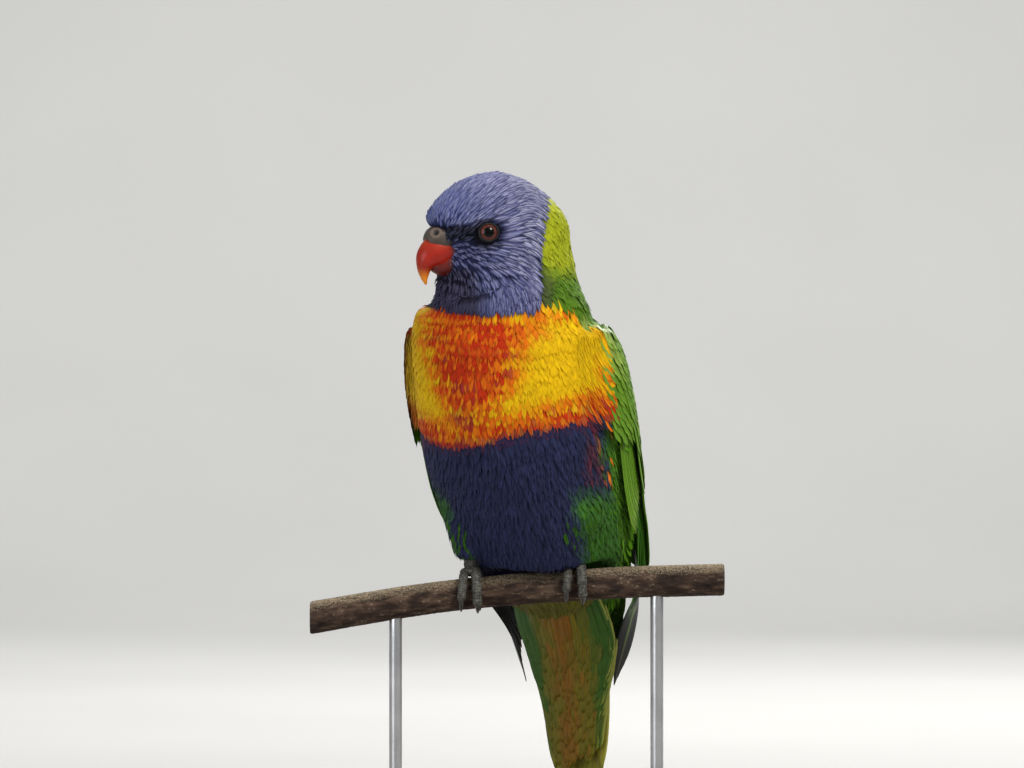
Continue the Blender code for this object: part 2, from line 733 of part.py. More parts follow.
def stand():
    """The display stand: a round base and two rods that hold the perch."""
    bpy.ops.mesh.primitive_cylinder_add(
        vertices=72, radius=BASE_RADIUS * MM, depth=BASE_HEIGHT * MM, location=(0, 0, BASE_HEIGHT / 2 * MM)
    )
    base = adopt("stand_base", "wood")
    edge = base.modifiers.new("edge", "BEVEL")
    edge.width = BASE_EDGE * MM
    edge.segments = 2
    edge.limit_method = "ANGLE"
    edge.angle_limit = math.radians(50)
    for side, x in ROD_PLACES.items():
        height, perch, _ = perch_at(x)
        bpy.ops.mesh.primitive_cylinder_add(
            vertices=20,
            radius=ROD_RADIUS * MM,
            depth=(height - BASE_HEIGHT - 0.3) * MM,
            location=(x * MM, PERCH_FOOT[1] * MM, (height + BASE_HEIGHT + 0.3) / 2 * MM),
        )
        rod = adopt(f"stand_rod_{side}", "steel")
        combine(rod, [perch_tube("socket", 0.3, "bark")], "DIFFERENCE")


def main():
    """Builds every node of the part."""
    bpy.context.scene.collection.children.link(parts)
    stand()
    perch_tube("perch", 0.0, "bark")
    torso()
    trunk_loft("neck", TORSO_TOP, NECK_TOP, 4, 28, "green")
    head()
    bill()
    for side, sign in (("left", 1), ("right", -1)):
        centre, _ = eye_places(sign)
        ball(f"eye_{side}", centre, EYE_RADIUS, "eye", 16)
        foot(side)
        made = thigh(f"thigh_{side}", side)
        combine(made, [perch_tube("groove", FOOT_CLEARANCE, "bark", 20.0)], "DIFFERENCE")
        wing(f"wing_{side}", sign)
    tail()


for old in list(bpy.data.objects):
    bpy.data.objects.remove(old)
main()
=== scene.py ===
"""A rainbow lorikeet on a cut perch and a display stand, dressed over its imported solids.

Tables and sizes are in millimetres, in the frame of the solids: +Z is up, the perch runs along
X, and the breast faces -Y and a little towards -X. Meshes are scaled to metres as they are made.
"""

from __future__ import annotations

import logging
import math
from dataclasses import dataclass, field
from enum import Enum

import bpy
import numpy as np
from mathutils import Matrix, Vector, noise
from mathutils.bvhtree import BVHTree

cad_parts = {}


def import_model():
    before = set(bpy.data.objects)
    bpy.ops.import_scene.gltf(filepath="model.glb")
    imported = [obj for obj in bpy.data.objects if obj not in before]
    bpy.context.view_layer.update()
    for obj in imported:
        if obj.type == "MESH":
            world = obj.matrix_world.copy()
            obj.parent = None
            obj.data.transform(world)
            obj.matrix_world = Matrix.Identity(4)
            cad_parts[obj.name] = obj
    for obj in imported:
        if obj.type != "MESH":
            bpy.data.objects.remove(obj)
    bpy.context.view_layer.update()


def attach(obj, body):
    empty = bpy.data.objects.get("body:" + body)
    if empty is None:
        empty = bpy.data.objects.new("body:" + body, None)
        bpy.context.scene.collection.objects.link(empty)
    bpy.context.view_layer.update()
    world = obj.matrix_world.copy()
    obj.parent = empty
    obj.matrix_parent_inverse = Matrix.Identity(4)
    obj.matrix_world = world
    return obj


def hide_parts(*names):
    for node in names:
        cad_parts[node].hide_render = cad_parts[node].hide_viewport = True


LOG = logging.getLogger("lorikeet")
MM = 0.001
SEED = 20417
Array = np.ndarray
Rng = np.random.Generator
Material = bpy.types.Material
Socket = bpy.types.NodeSocket
Piece = bpy.types.Object
Pair = tuple[float, float]
Triple = tuple[float, float, float]
RGB = Triple
Row = tuple[float, ...]
Rows = tuple[Row, ...]
Shell = tuple[Array, list]
ANY = (-300.0, 300.0)


class Side(Enum):
    """The bird's two sides, as the sign of a place across its body."""

    LEFT = 1
    RIGHT = -1

    @property
    def word(self) -> str:
        """The side's name as the nodes spell it."""
        return self.name.lower()


class Slot(Enum):
    """The record's material slots, one passed along with each piece; nothing here reads them."""

    HEAD = "head_feathers"
    GREEN = "green_feathers"
    BREAST = "breast_feathers"
    TAIL = "tail_feathers"
    EYE = "eye"
    BILL = "bill"
    SKIN = "bare_skin"
    CLAW = "claw"
    BARK = "bark"
    WOOD = "stand_wood"
    STEEL = "stand_steel"


class Outline(Enum):
    """How wide a feather is at places along it, as a share of its full width."""

    LANCE = ((0.0, 0.45), (0.25, 0.95), (0.55, 1.0), (0.82, 0.62), (1.0, 0.10))
    BODY = ((0.0, 0.45), (0.3, 0.9), (0.62, 1.0), (0.86, 0.92), (1.0, 0.72))
    SOFT = ((0.0, 0.5), (0.3, 0.95), (0.65, 1.0), (0.87, 0.74), (1.0, 0.34))
    COVERT = (
        (0.0, 0.6), (0.22, 0.85), (0.48, 1.0), (0.72, 0.98), (0.88, 0.8), (0.96, 0.52), (1.0, 0.22),
    )
    FLIGHT = (
        (0.0, 0.5), (0.12, 0.85), (0.3, 1.0), (0.5, 0.96), (0.68, 0.82), (0.82, 0.68), (0.92, 0.5),
        (0.98, 0.3), (1.0, 0.14),
    )
    RECTRIX = (
        (0.0, 0.6), (0.15, 0.9), (0.35, 1.0), (0.55, 0.94), (0.72, 0.8), (0.86, 0.6), (0.95, 0.38),
        (1.0, 0.12),
    )

    def at(self, along: Array) -> Array:
        """The width at places along the feather."""
        rows = np.array(self.value)
        return np.interp(along, rows[:, 0], rows[:, 1])


def unit(vectors: Array) -> Array:
    """Vectors scaled to a length of one along their last axis."""
    return vectors / np.maximum(np.linalg.norm(vectors, axis=-1, keepdims=True), 1e-9)


def smooth(low: float, high: float, values: Array) -> Array:
    """A smooth step of the values from nought at low to one at high."""
    share = np.clip((np.asarray(values, float) - low) / (high - low), 0.0, 1.0)
    return share * share * (3 - 2 * share)


def mix(first: Array, second: Array, share: Array) -> Array:
    """Colours mixed row by row, from the first at a share of nought to the second at one."""
    part = np.asarray(share)[..., None]
    return np.asarray(first) * (1 - part) + np.asarray(second) * part


def drift(places: Array, rates: Row, seed: int) -> Array:
    """Soft uneven values about nought, which change smoothly from place to place.

    Args:
        places: The places, (N, F).
        rates: How fast the values change along each of the F axes.
        seed: Which unevenness.

    Returns:
        The values, about one in size, (N,).
    """
    rng = np.random.default_rng(seed)
    waves = rng.normal(0, 1, (24, len(rates))) * rates
    return np.sin(places @ waves.T + rng.uniform(0, 2 * math.pi, 24)).sum(axis=1) / math.sqrt(12)


def spline(rows: Array, places: Array) -> Array:
    """Values on a smooth curve through rows that sit at 0, 1, 2 and so on.

    Args:
        rows: The rows, (R, F).
        places: Where on the curve, (N,).

    Returns:
        The values there, (N, F).
    """
    rows = np.asarray(rows, float)
    places = np.atleast_1d(np.asarray(places, float))
    last = len(rows) - 1
    index = np.clip(np.floor(places).astype(int), 0, last - 1)
    u = (places - index)[:, None]
    padded = np.vstack([2 * rows[0] - rows[1], rows, 2 * rows[-1] - rows[-2]])
    before, a, b, after = (padded[index + k] for k in range(4))
    m0, m1 = (b - before) / 2, (after - a) / 2
    cubic, square = u**3, u**2
    return (
        (2 * cubic - 3 * square + 1) * a
        + (cubic - 2 * square + u) * m0
        + (3 * square - 2 * cubic) * b
        + (cubic - square) * m1
    )


def headings(yaw: Array | float) -> tuple[Array, Array]:
    """The level directions that belong to yaws.

    Args:
        yaw: One yaw or more, in degrees from -Y towards -X.

    Returns:
        The facing directions, and the directions to their left.
    """
    turn = np.radians(yaw)
    flat = np.zeros_like(turn)
    facing = np.stack([-np.sin(turn), -np.cos(turn), flat], axis=-1)
    return facing, np.stack([np.cos(turn), -np.sin(turn), flat], axis=-1)


@dataclass(frozen=True)
class Frame:
    """Level axes in which a part of the bird is measured.

    Args:
        foot: Where they start, along X and Y.
        yaw: Which way they face, in degrees from -Y towards -X.
    """

    foot: Pair
    yaw: float

    @property
    def axes(self) -> tuple[Array, Array, Array]:
        """The start, the facing direction and the direction to its left."""
        return np.array((*self.foot, 0.0)), *headings(self.yaw)

    def point(self, forward: Array, side: Array, height: Array) -> Array:
        """Puts places into the frame of the solids.

        Args:
            forward: How far forward they are.
            side: How far to the left.
            height: How far up.

        Returns:
            The points.
        """
        start, facing, left = self.axes
        forward, side, height = np.broadcast_arrays(forward, side, height)
        points = start + forward[..., None] * facing + side[..., None] * left
        points[..., 2] = height
        return points

    def measure(self, points: Array) -> tuple[Array, Array, Array]:
        """How far forward, to the left and up points in the frame of the solids are."""
        start, facing, left = self.axes
        return (points - start) @ facing, (points - start) @ left, points[..., 2]


BODY = Frame((-1.0, -12.0), 24.0)
HEAD = Frame(tuple(BODY.point(20.0, -3.0, 0.0)[:2]), 70.0)


def rings_of(places: Array, sides: int) -> tuple[Array, Array]:
    """Every place of a loft with every turn of its rings, in radians."""
    turns = np.linspace(0, 2 * math.pi, sides, endpoint=False)
    return np.repeat(places, sides), np.tile(turns, len(places))


def grid_faces(rows: int, columns: int, caps: bool = True) -> list[tuple[int, ...]]:
    """The quads between the rings of a loft.

    Args:
        rows: How many rings there are.
        columns: How many points a ring has.
        caps: Whether the two end rings are filled.

    Returns:
        The faces as tuples of point numbers.
    """
    faces = []
    for low in range(0, (rows - 1) * columns, columns):
        for column in range(columns):
            other = (column + 1) % columns
            faces.append((low + column, low + other, low + columns + other, low + columns + column))
    if caps:
        faces.append(tuple(reversed(range(columns))))
        faces.append(tuple(range((rows - 1) * columns, rows * columns)))
    return faces


def join(shells: list[Shell]) -> Shell:
    """Puts several meshes together.

    Args:
        shells: The points and the faces of each.

    Returns:
        One list of points and one of faces.
    """
    points, faces, total = [], [], 0
    for shell_points, shell_faces in shells:
        points.append(shell_points)
        faces += [tuple(k + total for k in face) for face in shell_faces]
        total += len(shell_points)
    return np.concatenate(points), faces


def adopt(name: str, mesh: bpy.types.Mesh, finish: Material) -> Piece:
    """Makes a mesh a smooth piece that rides on the model.

    Args:
        name: The piece's name.
        mesh: Its mesh.
        finish: Its material.

    Returns:
        The new object.
    """
    mesh.materials.append(finish)
    mesh.shade_smooth()
    piece = bpy.data.objects.new(name, mesh)
    bpy.context.scene.collection.objects.link(piece)
    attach(piece, "root")
    LOG.info("%s: %d faces", name, len(mesh.polygons))
    return piece


def tint(piece: Piece, colours: Array | RGB) -> None:
    """Gives a piece's points their colours, which its material reads as tint.

    Args:
        piece: The piece.
        colours: One colour, or one for each point.
    """
    layer = piece.data.attributes.new("tint", "FLOAT_COLOR", "POINT")
    full = np.ones((len(piece.data.vertices), 4), np.float32)
    full[:, :3] = colours
    layer.data.foreach_set("color", full.ravel())


def place(
    name: str, shell: Shell, finish: Material, slot: Slot, colours: Array | RGB | None = None
) -> Piece:
    """Makes a smooth piece from points in millimetres and faces.

    Args:
        name: The piece's name.
        shell: Its points, (N, 3), and its faces.
        finish: Its material.
        slot: The record's slot that it stands for; not used.
        colours: Its colours, where its material reads them.

    Returns:
        The new object.
    """
    mesh = bpy.data.meshes.new(name)
    mesh.from_pydata((shell[0] * MM).tolist(), [], shell[1])
    piece = adopt(name, mesh, finish)
    if colours is not None:
        tint(piece, colours)
    return piece


class Surface:
    """A mesh in millimetres that points are dropped onto, with its smooth normals."""

    def __init__(self, points: Array, faces: list) -> None:
        """Builds the search tree and the normals.

        Args:
            points: The mesh's points, (N, 3).
            faces: Its faces, triangles or quads.
        """
        self.points = np.asarray(points, float)
        self.tree = BVHTree.FromPolygons([Vector(p) for p in self.points], faces)
        self.corners = np.array([(f[0], f[1], f[2], f[-1]) for f in faces])
        a, b, c, d = (self.points[self.corners[:, k]] for k in range(4))
        flat = np.cross(c - a, d - b)
        thin = np.linalg.norm(flat, axis=1) < 1e-12
        flat[thin] = np.cross(b - a, c - a)[thin]
        self.normals = np.zeros_like(self.points)
        for k in range(4):
            np.add.at(self.normals, self.corners[:, k], flat)
        self.normals = unit(self.normals)

    def drop(self, points: Array) -> tuple[Array, Array, Array]:
        """Moves points to their nearest places on the surface.

        Args:
            points: The points, (N, 3).

        Returns:
            The places and the smooth normals there, both (N, 3), and how far each point moved.
        """
        found = [self.tree.find_nearest(Vector(p)) for p in points]
        places = np.array([f[0][:] for f in found])
        corners = self.corners[[f[2] for f in found]]
        near = self.points[corners]
        weights = 1.0 / (np.sum((near - places[:, None]) ** 2, axis=2) + 1e-4)
        normals = unit(np.sum(self.normals[corners] * weights[..., None], axis=1))
        return places, normals, np.array([f[3] for f in found])

    def reach(self, start: Array, way: Array) -> float:
        """How far along a way from a start inside it the surface lies, or nought."""
        hit = self.tree.ray_cast(Vector(start), Vector(way))
        return hit[3] if hit[0] is not None else 0.0


@dataclass(frozen=True)
class Spacing:
    """How far apart the feathers stand along the trunk, by places along it."""

    places: Row = (0.0, 8.5, 10.5, 12.0, 13.5, 19.0)
    row_gaps: Row = (2.5, 2.3, 1.9, 1.6, 1.35, 1.35)
    column_gaps: Row = (2.8, 2.6, 2.0, 1.7, 1.4, 1.3)

    def rows(self, place: float) -> float:
        """The gap between rows there."""
        return float(np.interp(place, self.places, self.row_gaps))

    def columns(self, place: float) -> float:
        """The gap between feathers in a row there."""
        return float(np.interp(place, self.places, self.column_gaps))


@dataclass(frozen=True)
class Trunk:
    """The bird's trunk from the root of the tail to the crown, as stations of a loft.

    A station is forward, side and height in the body's axes, its yaw, its front, back and flank
    radii, and how far its front is pinched towards the bill.
    """

    stations: Rows = (
        (-38.5, 1.2, 112.0, 24, 12.0, 10.0, 18.5, 0.0),
        (-33.5, 1.0, 123.0, 24, 20.0, 14.5, 26.5, 0.0),
        (-26.0, 0.5, 136.0, 24, 30.0, 20.0, 33.0, 0.0),
        (-17.5, 0.0, 151.0, 24, 35.5, 26.0, 37.0, 0.0),
        (-9.0, -0.5, 167.0, 24, 37.0, 30.5, 39.5, 0.0),
        (-1.0, -0.5, 184.0, 24, 37.0, 32.5, 41.0, 0.0),
        (6.5, -0.5, 201.6, 24, 36.0, 32.5, 41.0, 0.0),
        (11.0, -1.2, 214.0, 24, 33.0, 30.0, 39.5, 0.0),
        (12.5, -1.5, 222.0, 26, 31.0, 28.5, 38.3, 0.0),
        (13.5, -1.0, 228.0, 32, 29.5, 28.0, 35.0, 0.0),
        (14.0, -1.2, 233.5, 42, 29.2, 29.4, 30.5, 0.04),
        (15.0, -2.0, 240.0, 56, 28.8, 30.6, 26.0, 0.12),
        (17.0, -3.0, 244.5, 62, 26.8, 30.8, 23.4, 0.18),
        (18.5, -3.0, 248.5, 67, 20.4, 30.9, 22.0, 0.22),
        (19.5, -3.0, 255.0, 70, 20.0, 30.7, 20.6, 0.25),
        (20.0, -3.0, 261.8, 70, 27.6, 29.9, 19.8, 0.28),
        (20.0, -3.0, 268.2, 70, 25.2, 26.0, 17.8, 0.16),
        (20.0, -3.0, 274.2, 70, 18.8, 18.4, 14.2, 0.10),
        (20.0, -3.0, 278.2, 70, 11.8, 11.2, 9.5, 0.0),
        (20.0, -3.0, 280.4, 70, 3.4, 3.2, 3.0, 0.0),
    )

    @property
    def crown(self) -> float:
        """The place of the last station."""
        return float(len(self.stations) - 1)

    def at(self, places: Array, turns: Array, grow: float = 0.0) -> Array:
        """Points on the trunk's surface.

        Args:
            places: Places along the trunk, (N,).
            turns: Turns from the front towards the left in radians, (N,).
            grow: How far outside the surface the points lie.

        Returns:
            The points, (N, 3).
        """
        rows = spline(self.stations, places)
        ahead = spline(self.stations, np.clip(places + 0.05, 0, self.crown))
        behind = spline(self.stations, np.clip(places - 0.05, 0, self.crown))
        tangent = unit(BODY.point(*ahead[:, :3].T) - BODY.point(*behind[:, :3].T))
        facing, _ = headings(rows[:, 3])
        facing = unit(facing - tangent * np.sum(facing * tangent, axis=1, keepdims=True))
        left = np.cross(tangent, facing)
        c, s = np.cos(turns), np.sin(turns)
        reach = np.maximum(np.where(c > 0, rows[:, 4], rows[:, 5]), 0.01) + grow
        width = (np.maximum(rows[:, 6], 0.01) + grow) * (1 - rows[:, 7] * np.maximum(0.0, c))
        centre = BODY.point(*rows[:, :3].T)
        return centre + (reach * c)[:, None] * facing + (width * s)[:, None] * left

    def shell(self, grow: float) -> Shell:
        """The trunk as a closed loft, grown outwards by that much."""
        places, turns = rings_of(np.linspace(0, self.crown, 110), 72)
        return self.at(places, turns, grow), grid_faces(110, 72)

    def roots(self, spacing: Spacing, rng: Rng) -> tuple[Array, Array]:
        """Staggered rows of places for feathers, all over the trunk.

        Args:
            spacing: How far apart the rows and the feathers in a row are.
            rng: The source of the small shifts.

        Returns:
            The places along the trunk and the turns, both (N,).
        """
        fine, lines = np.linspace(0.02, self.crown - 0.02, 600), 8
        turns = np.arange(lines) * 2 * math.pi / lines
        sides = np.stack([self.at(fine, np.full(len(fine), turn)) for turn in turns])
        steps = np.linalg.norm(np.diff(sides, axis=1), axis=2).mean(axis=0)
        rings = np.linalg.norm(np.diff(sides, axis=0), axis=2).mean(axis=0) * lines
        made: list[Array] = []
        run, number = 0.0, 0
        for index, step in enumerate(steps):
            run += step
            place = fine[index]
            if run < spacing.rows(place):
                continue
            run, number = 0.0, number + 1
            count = max(3, int(rings[index] / spacing.columns(place)))
            turns = (np.arange(count) + 0.5 * (number % 2)) * 2 * math.pi / count
            turns = turns + rng.normal(0, 0.22, count) * 2 * math.pi / count
            jitter = rng.normal(0, 0.22, count) * spacing.rows(place) / step * (fine[1] - fine[0])
            made.append(np.stack([np.full(count, place) + jitter, turns]))
        joined = np.concatenate(made, axis=1)
        return np.clip(joined[0], 0.0, self.crown), joined[1]


@dataclass
class Batch:
    """Feathers of one outline: where each lies and its colours.

    Args:
        outline: How wide they are along their length.
        columns: Places across the feather, from -1 to 1.
        along: Places along it, from nought to one, (K,).
        spines: Their middle lines, (N, K, 3).
        normals: The outward direction along each line, (N, K, 3).
        widths: Their full widths, (N,).
        places: Their places on the bake map, (N, 2).
        colours: Their colours, (N, K, M, 3).
        tilts: How far each is rolled about its line, as a slope.
        camber: How far the edges bend down, as a share of the half width.
        ridge: How far the shaft stands up, in millimetres.
        sweep: How far the edges lag behind the tip, as a share of the length.
        ragged: How uneven the tip is, as a share of the length.
        thickness: Nought for a single sheet, or how thick the vane is.
    """

    outline: Outline
    columns: Array
    along: Array
    spines: Array
    normals: Array
    widths: Array
    places: Array
    colours: Array
    tilts: Array | float = 0.0
    camber: float = 0.18
    ridge: float = 0.08
    sweep: float = 0.1
    ragged: float = 0.0
    thickness: float = 0.0

    def mesh(self, rng: Rng) -> tuple[Array, Array, Array, Array]:
        """The feathers as one mesh.

        Args:
            rng: The source of the uneven tips.

        Returns:
            Points in millimetres, quads, point colours, and each point's place on the bake map.
        """
        count, rows, _ = self.spines.shape
        x, along = self.columns[None, None], self.along[None, :, None]
        tangents = unit(np.gradient(self.spines, axis=1))
        lengths = np.linalg.norm(np.diff(self.spines, axis=1), axis=2).sum(axis=1)
        sides = unit(np.cross(tangents, self.normals))
        ups = unit(np.cross(sides, tangents))
        tilt = np.asarray(self.tilts, float)
        tilt = tilt if tilt.ndim == 2 else tilt.reshape(-1, 1)
        tilt = np.broadcast_to(tilt, (count, rows))[..., None]
        sides, ups = unit(sides + tilt * ups), unit(ups - tilt * sides)
        half = (self.widths[:, None] * self.outline.at(self.along)[None] / 2)[..., None]
        rise = -self.camber * half * x**2 + self.ridge * np.exp(-((x / 0.2) ** 2))
        uneven = rng.normal(0, self.ragged, (count, 1, len(self.columns))) if self.ragged else 0.0
        lag = (-self.sweep * x**2 + uneven) * lengths[:, None, None] * along**2
        points = self.spines[:, :, None] + sides[:, :, None] * (half * x)[..., None]
        points = points + ups[:, :, None] * rise[..., None] + tangents[:, :, None] * lag[..., None]
        chart = np.stack(np.broadcast_arrays(0.0015 * x, 0.003 * (along - 0.5)), axis=-1)
        spots = self.places[:, None, None] + chart
        faces, sheets, size = self.quads(), [points], rows * len(self.columns)
        if self.thickness:
            sheets.append(points - ups[:, :, None] * self.thickness)
            faces = self.slab(faces)
        points = np.concatenate([sheet.reshape(count, size, 3) for sheet in sheets], axis=1)
        colours = np.concatenate([self.colours.reshape(count, size, 3)] * len(sheets), axis=1)
        spots = np.concatenate([spots.reshape(count, size, 2)] * len(sheets), axis=1)
        faces = faces[None] + (np.arange(count) * size * len(sheets))[:, None, None]
        parts = ((points, 3), (faces, 4), (colours, 3), (spots, 2))
        return tuple(part.reshape(-1, width) for part, width in parts)

    def quads(self) -> Array:
        """The faces of one feather as a single sheet.

        Returns:
            The quads, turned so that they face along the sheet's normal.
        """
        columns = len(self.columns)
        rows = np.arange(len(self.along) - 1)[:, None]
        start = (rows * columns + np.arange(columns - 1)).ravel()
        return np.stack([start, start + 1, start + columns + 1, start + columns], axis=1)

    def slab(self, top: Array) -> Array:
        """The faces of one feather as a thin slab.

        Args:
            top: The quads of its upper sheet.

        Returns:
            The quads of both sheets and of the rim between them.
        """
        rows, columns = len(self.along), len(self.columns)
        grid = np.arange(rows * columns).reshape(rows, columns)
        ring = np.concatenate([grid[:, 0], grid[-1, 1:], grid[-2::-1, -1], grid[0, -2:0:-1]])
        after = np.roll(ring, -1)
        edge = np.stack([ring, after, after + grid.size, ring + grid.size], axis=1)
        return np.concatenate([top, top[:, ::-1] + grid.size, edge])


def coat(name: str, finish: Material, slot: Slot, batches: list[Batch], rng: Rng) -> None:
    """Joins batches of feathers into one piece of the model, with their bake map.

    Args:
        name: The piece's name.
        finish: Its material.
        slot: The record's slot that it stands for; not used.
        batches: The feathers.
        rng: The source of the uneven tips.
    """
    points, faces, colours, spots = zip(*(batch.mesh(rng) for batch in batches))
    starts = np.cumsum([0, *(len(part) for part in points[:-1])])
    quads = np.concatenate([part + start for part, start in zip(faces, starts)])
    points, colours, spots = (np.concatenate(part) for part in (points, colours, spots))
    mesh = bpy.data.meshes.new(name)
    mesh.vertices.add(len(points))
    mesh.vertices.foreach_set("co", (points * MM).astype(np.float32).ravel())
    mesh.loops.add(quads.size)
    mesh.loops.foreach_set("vertex_index", quads.astype(np.int32).ravel())
    mesh.polygons.add(len(quads))
    mesh.polygons.foreach_set("loop_start", np.arange(0, quads.size, 4, dtype=np.int32))
    mesh.update(calc_edges=True)
    mesh.validate()
    corners = np.empty(len(mesh.loops), np.int32)
    mesh.loops.foreach_get("vertex_index", corners)
    chart = mesh.uv_layers.new(name="OFBake")
    chart.uv.foreach_set("vector", spots[corners].astype(np.float32).ravel())
    tint(adopt(name, mesh, finish), colours)


class Graph:
    """A material's nodes, added and joined by short calls."""

    def __init__(self, name: str) -> None:
        """Starts a material that holds one principled shader.

        Args:
            name: The material's name.
        """
        self.material = bpy.data.materials.new(name)
        self.material.use_nodes = True
        self.tree = self.material.node_tree
        self.shader = self.tree.nodes["Principled BSDF"]

    def add(self, kind: str, inputs: dict | None = None, **settings: object) -> bpy.types.Node:
        """Adds a node.

        Args:
            kind: Its type, without the ShaderNode in front.
            inputs: Values or sockets by the name or the number of its inputs.
            settings: Its properties.

        Returns:
            The new node.
        """
        node = self.tree.nodes.new("ShaderNode" + kind)
        for key, value in settings.items():
            setattr(node, key, value)
        for key, value in (inputs or {}).items():
            self.fit(node.inputs[key], value)
        return node

    def fit(self, socket: Socket, value: object) -> None:
        """Joins an input to a socket, or sets it to a value.

        Args:
            socket: The input.
            value: The socket that feeds it, or a number, a vector or a colour.
        """
        if isinstance(value, Socket):
            self.tree.links.new(value, socket)
        else:
            socket.default_value = (*value, 1.0) if socket.type == "RGBA" else value

    def shade(self, **inputs: object) -> None:
        """Sets or joins the shader's inputs, named in lower case with underscores."""
        for key, value in inputs.items():
            self.fit(self.shader.inputs[key.replace("_", " ").title().replace("Ior", "IOR")], value)

    def place(self, scale: Triple = (1.0, 1.0, 1.0)) -> Socket:
        """The place on the model, in metres, with each axis scaled."""
        where = self.add("TexCoord").outputs["Object"]
        return self.add("Mapping", {"Vector": where, "Scale": scale}).outputs[0]

    def noise(self, vector: Socket, scale: float, detail: float = 3.0) -> Socket:
        """Soft noise about a half, at a scale in turns a metre."""
        inputs = {"Vector": vector, "Scale": scale, "Detail": detail}
        return self.add("TexNoise", inputs).outputs[0]

    def cells(self, vector: Socket, scale: float) -> Socket:
        """Distance from the middle of the nearest cell."""
        return self.add("TexVoronoi", {"Vector": vector, "Scale": scale}).outputs["Distance"]

    def ramp(self, value: Socket, stops: list[tuple[float, RGB]]) -> Socket:
        """Colours for a value.

        Args:
            value: The value.
            stops: Places and the colours there, in order.

        Returns:
            The colour's socket.
        """
        node = self.add("ValToRGB", {0: value})
        elements = node.color_ramp.elements
        while len(elements) < len(stops):
            elements.new(0.5)
        for element, (spot, colour) in zip(elements, stops):
            element.position = spot
            element.color = (*colour, 1.0)
        return node.outputs["Color"]

    def stretch(self, value: Socket, ends: Pair, within: Pair = (0.0, 1.0)) -> Socket:
        """A number moved from within one range to between the ends of another."""
        inputs = {0: value, 1: within[0], 2: within[1], 3: ends[0], 4: ends[1]}
        return self.add("MapRange", inputs).outputs[0]

    def blend(self, share: object, first: object, second: object) -> Socket:
        """Two colours mixed by a share."""
        return self.add("Mix", {0: share, 6: first, 7: second}, data_type="RGBA").outputs[2]

    def shaded(self, colour: object, shade: object, share: float = 1.0) -> Socket:
        """A colour darkened by another."""
        inputs = {0: share, 6: colour, 7: shade}
        return self.add("Mix", inputs, data_type="RGBA", blend_type="MULTIPLY").outputs[2]

    def sum(self, first: object, second: object, kind: str = "ADD") -> Socket:
        """Two numbers put together."""
        return self.add("Math", {0: first, 1: second}, operation=kind).outputs[0]

    def bump(self, height: Socket, strength: float, distance: float) -> Socket:
        """A bumped normal; the distance is in millimetres."""
        inputs = {"Height": height, "Strength": strength, "Distance": distance * MM}
        return self.add("Bump", inputs).outputs[0]

    def tint(self) -> Socket:
        """The colour that the mesh carries at each point."""
        return self.add("Attribute", attribute_name="tint").outputs["Color"]


@dataclass(frozen=True)
class Finish:
    """A material's name and how its nodes are laid out."""

    name: str

    def make(self) -> Material:
        """Makes the material.

        Returns:
            The material.
        """
        graph = Graph(self.name)
        self.dress(graph)
        return graph.material

    def dress(self, g: Graph) -> None:
        """Lays out the nodes."""
        raise NotImplementedError


@dataclass(frozen=True)
class PlumeFinish(Finish):
    """Feathers: their own colour, broken into barbs, with a soft sheen."""

    roughness: float = 0.62
    sheen: float = 0.04
    specular: float = 0.12
    grain: float = 0.35

    def dress(self, g: Graph) -> None:
        """Lays out the nodes.

        Args:
            g: The material's nodes.
        """
        barbs = g.noise(g.place((1.0, 1.0, 0.22)), 1500.0, 4.0)
        patches = g.noise(g.place(), 140.0, 3.0)
        fine = g.sum(barbs, 0.75 * self.grain, "MULTIPLY")
        broad = g.sum(patches, 0.5 * self.grain, "MULTIPLY")
        value = g.sum(g.sum(fine, broad), 1.0 - 0.62 * self.grain)
        shade = g.add("CombineColor", {0: value, 1: value, 2: value}).outputs[0]
        colour = g.shaded(g.tint(), shade)
        g.shade(base_color=colour, roughness=self.roughness, normal=g.bump(barbs, 0.35, 0.12))
        g.shade(sheen_weight=self.sheen, sheen_roughness=0.4, specular_ior_level=self.specular)


@dataclass(frozen=True)
class HornFinish(Finish):
    """Bill, claws and nostril skin: the colour of the mesh under a smooth or a dull surface."""

    roughness: float = 0.25
    coat: float = 0.5
    pits: float = 0.15
    scale: float = 900.0

    def dress(self, g: Graph) -> None:
        """Lays out the nodes.

        Args:
            g: The material's nodes.
        """
        growth = g.noise(g.place((1.0, 1.0, 0.35)), self.scale, 4.0)
        cloud = g.noise(g.place(), 260.0, 3.0)
        spread = g.ramp(cloud, [(0.3, (0.72, 0.72, 0.72)), (0.7, (1.0, 1.0, 1.0))])
        colour = g.shaded(g.tint(), spread)
        rough = g.stretch(growth, (self.roughness * 0.75, self.roughness * 1.35))
        g.shade(base_color=colour, roughness=rough, normal=g.bump(growth, self.pits, 0.15))
        g.shade(coat_weight=self.coat, coat_roughness=0.12, specular_ior_level=0.3)


@dataclass(frozen=True)
class EyeFinish(Finish):
    """The eyeball: the painted iris under a clear, wet front."""

    name: str = "eyeball"

    def dress(self, g: Graph) -> None:
        """Lays out the nodes.

        Args:
            g: The material's nodes.
        """
        fibres = g.noise(g.place(), 2600.0, 4.0)
        shade = g.ramp(fibres, [(0.3, (0.6, 0.6, 0.6)), (0.7, (1.0, 1.0, 1.0))])
        g.shade(base_color=g.shaded(g.tint(), shade, 0.7), roughness=0.3)
        g.shade(coat_weight=0.3, coat_roughness=0.02, specular_ior_level=0.03)


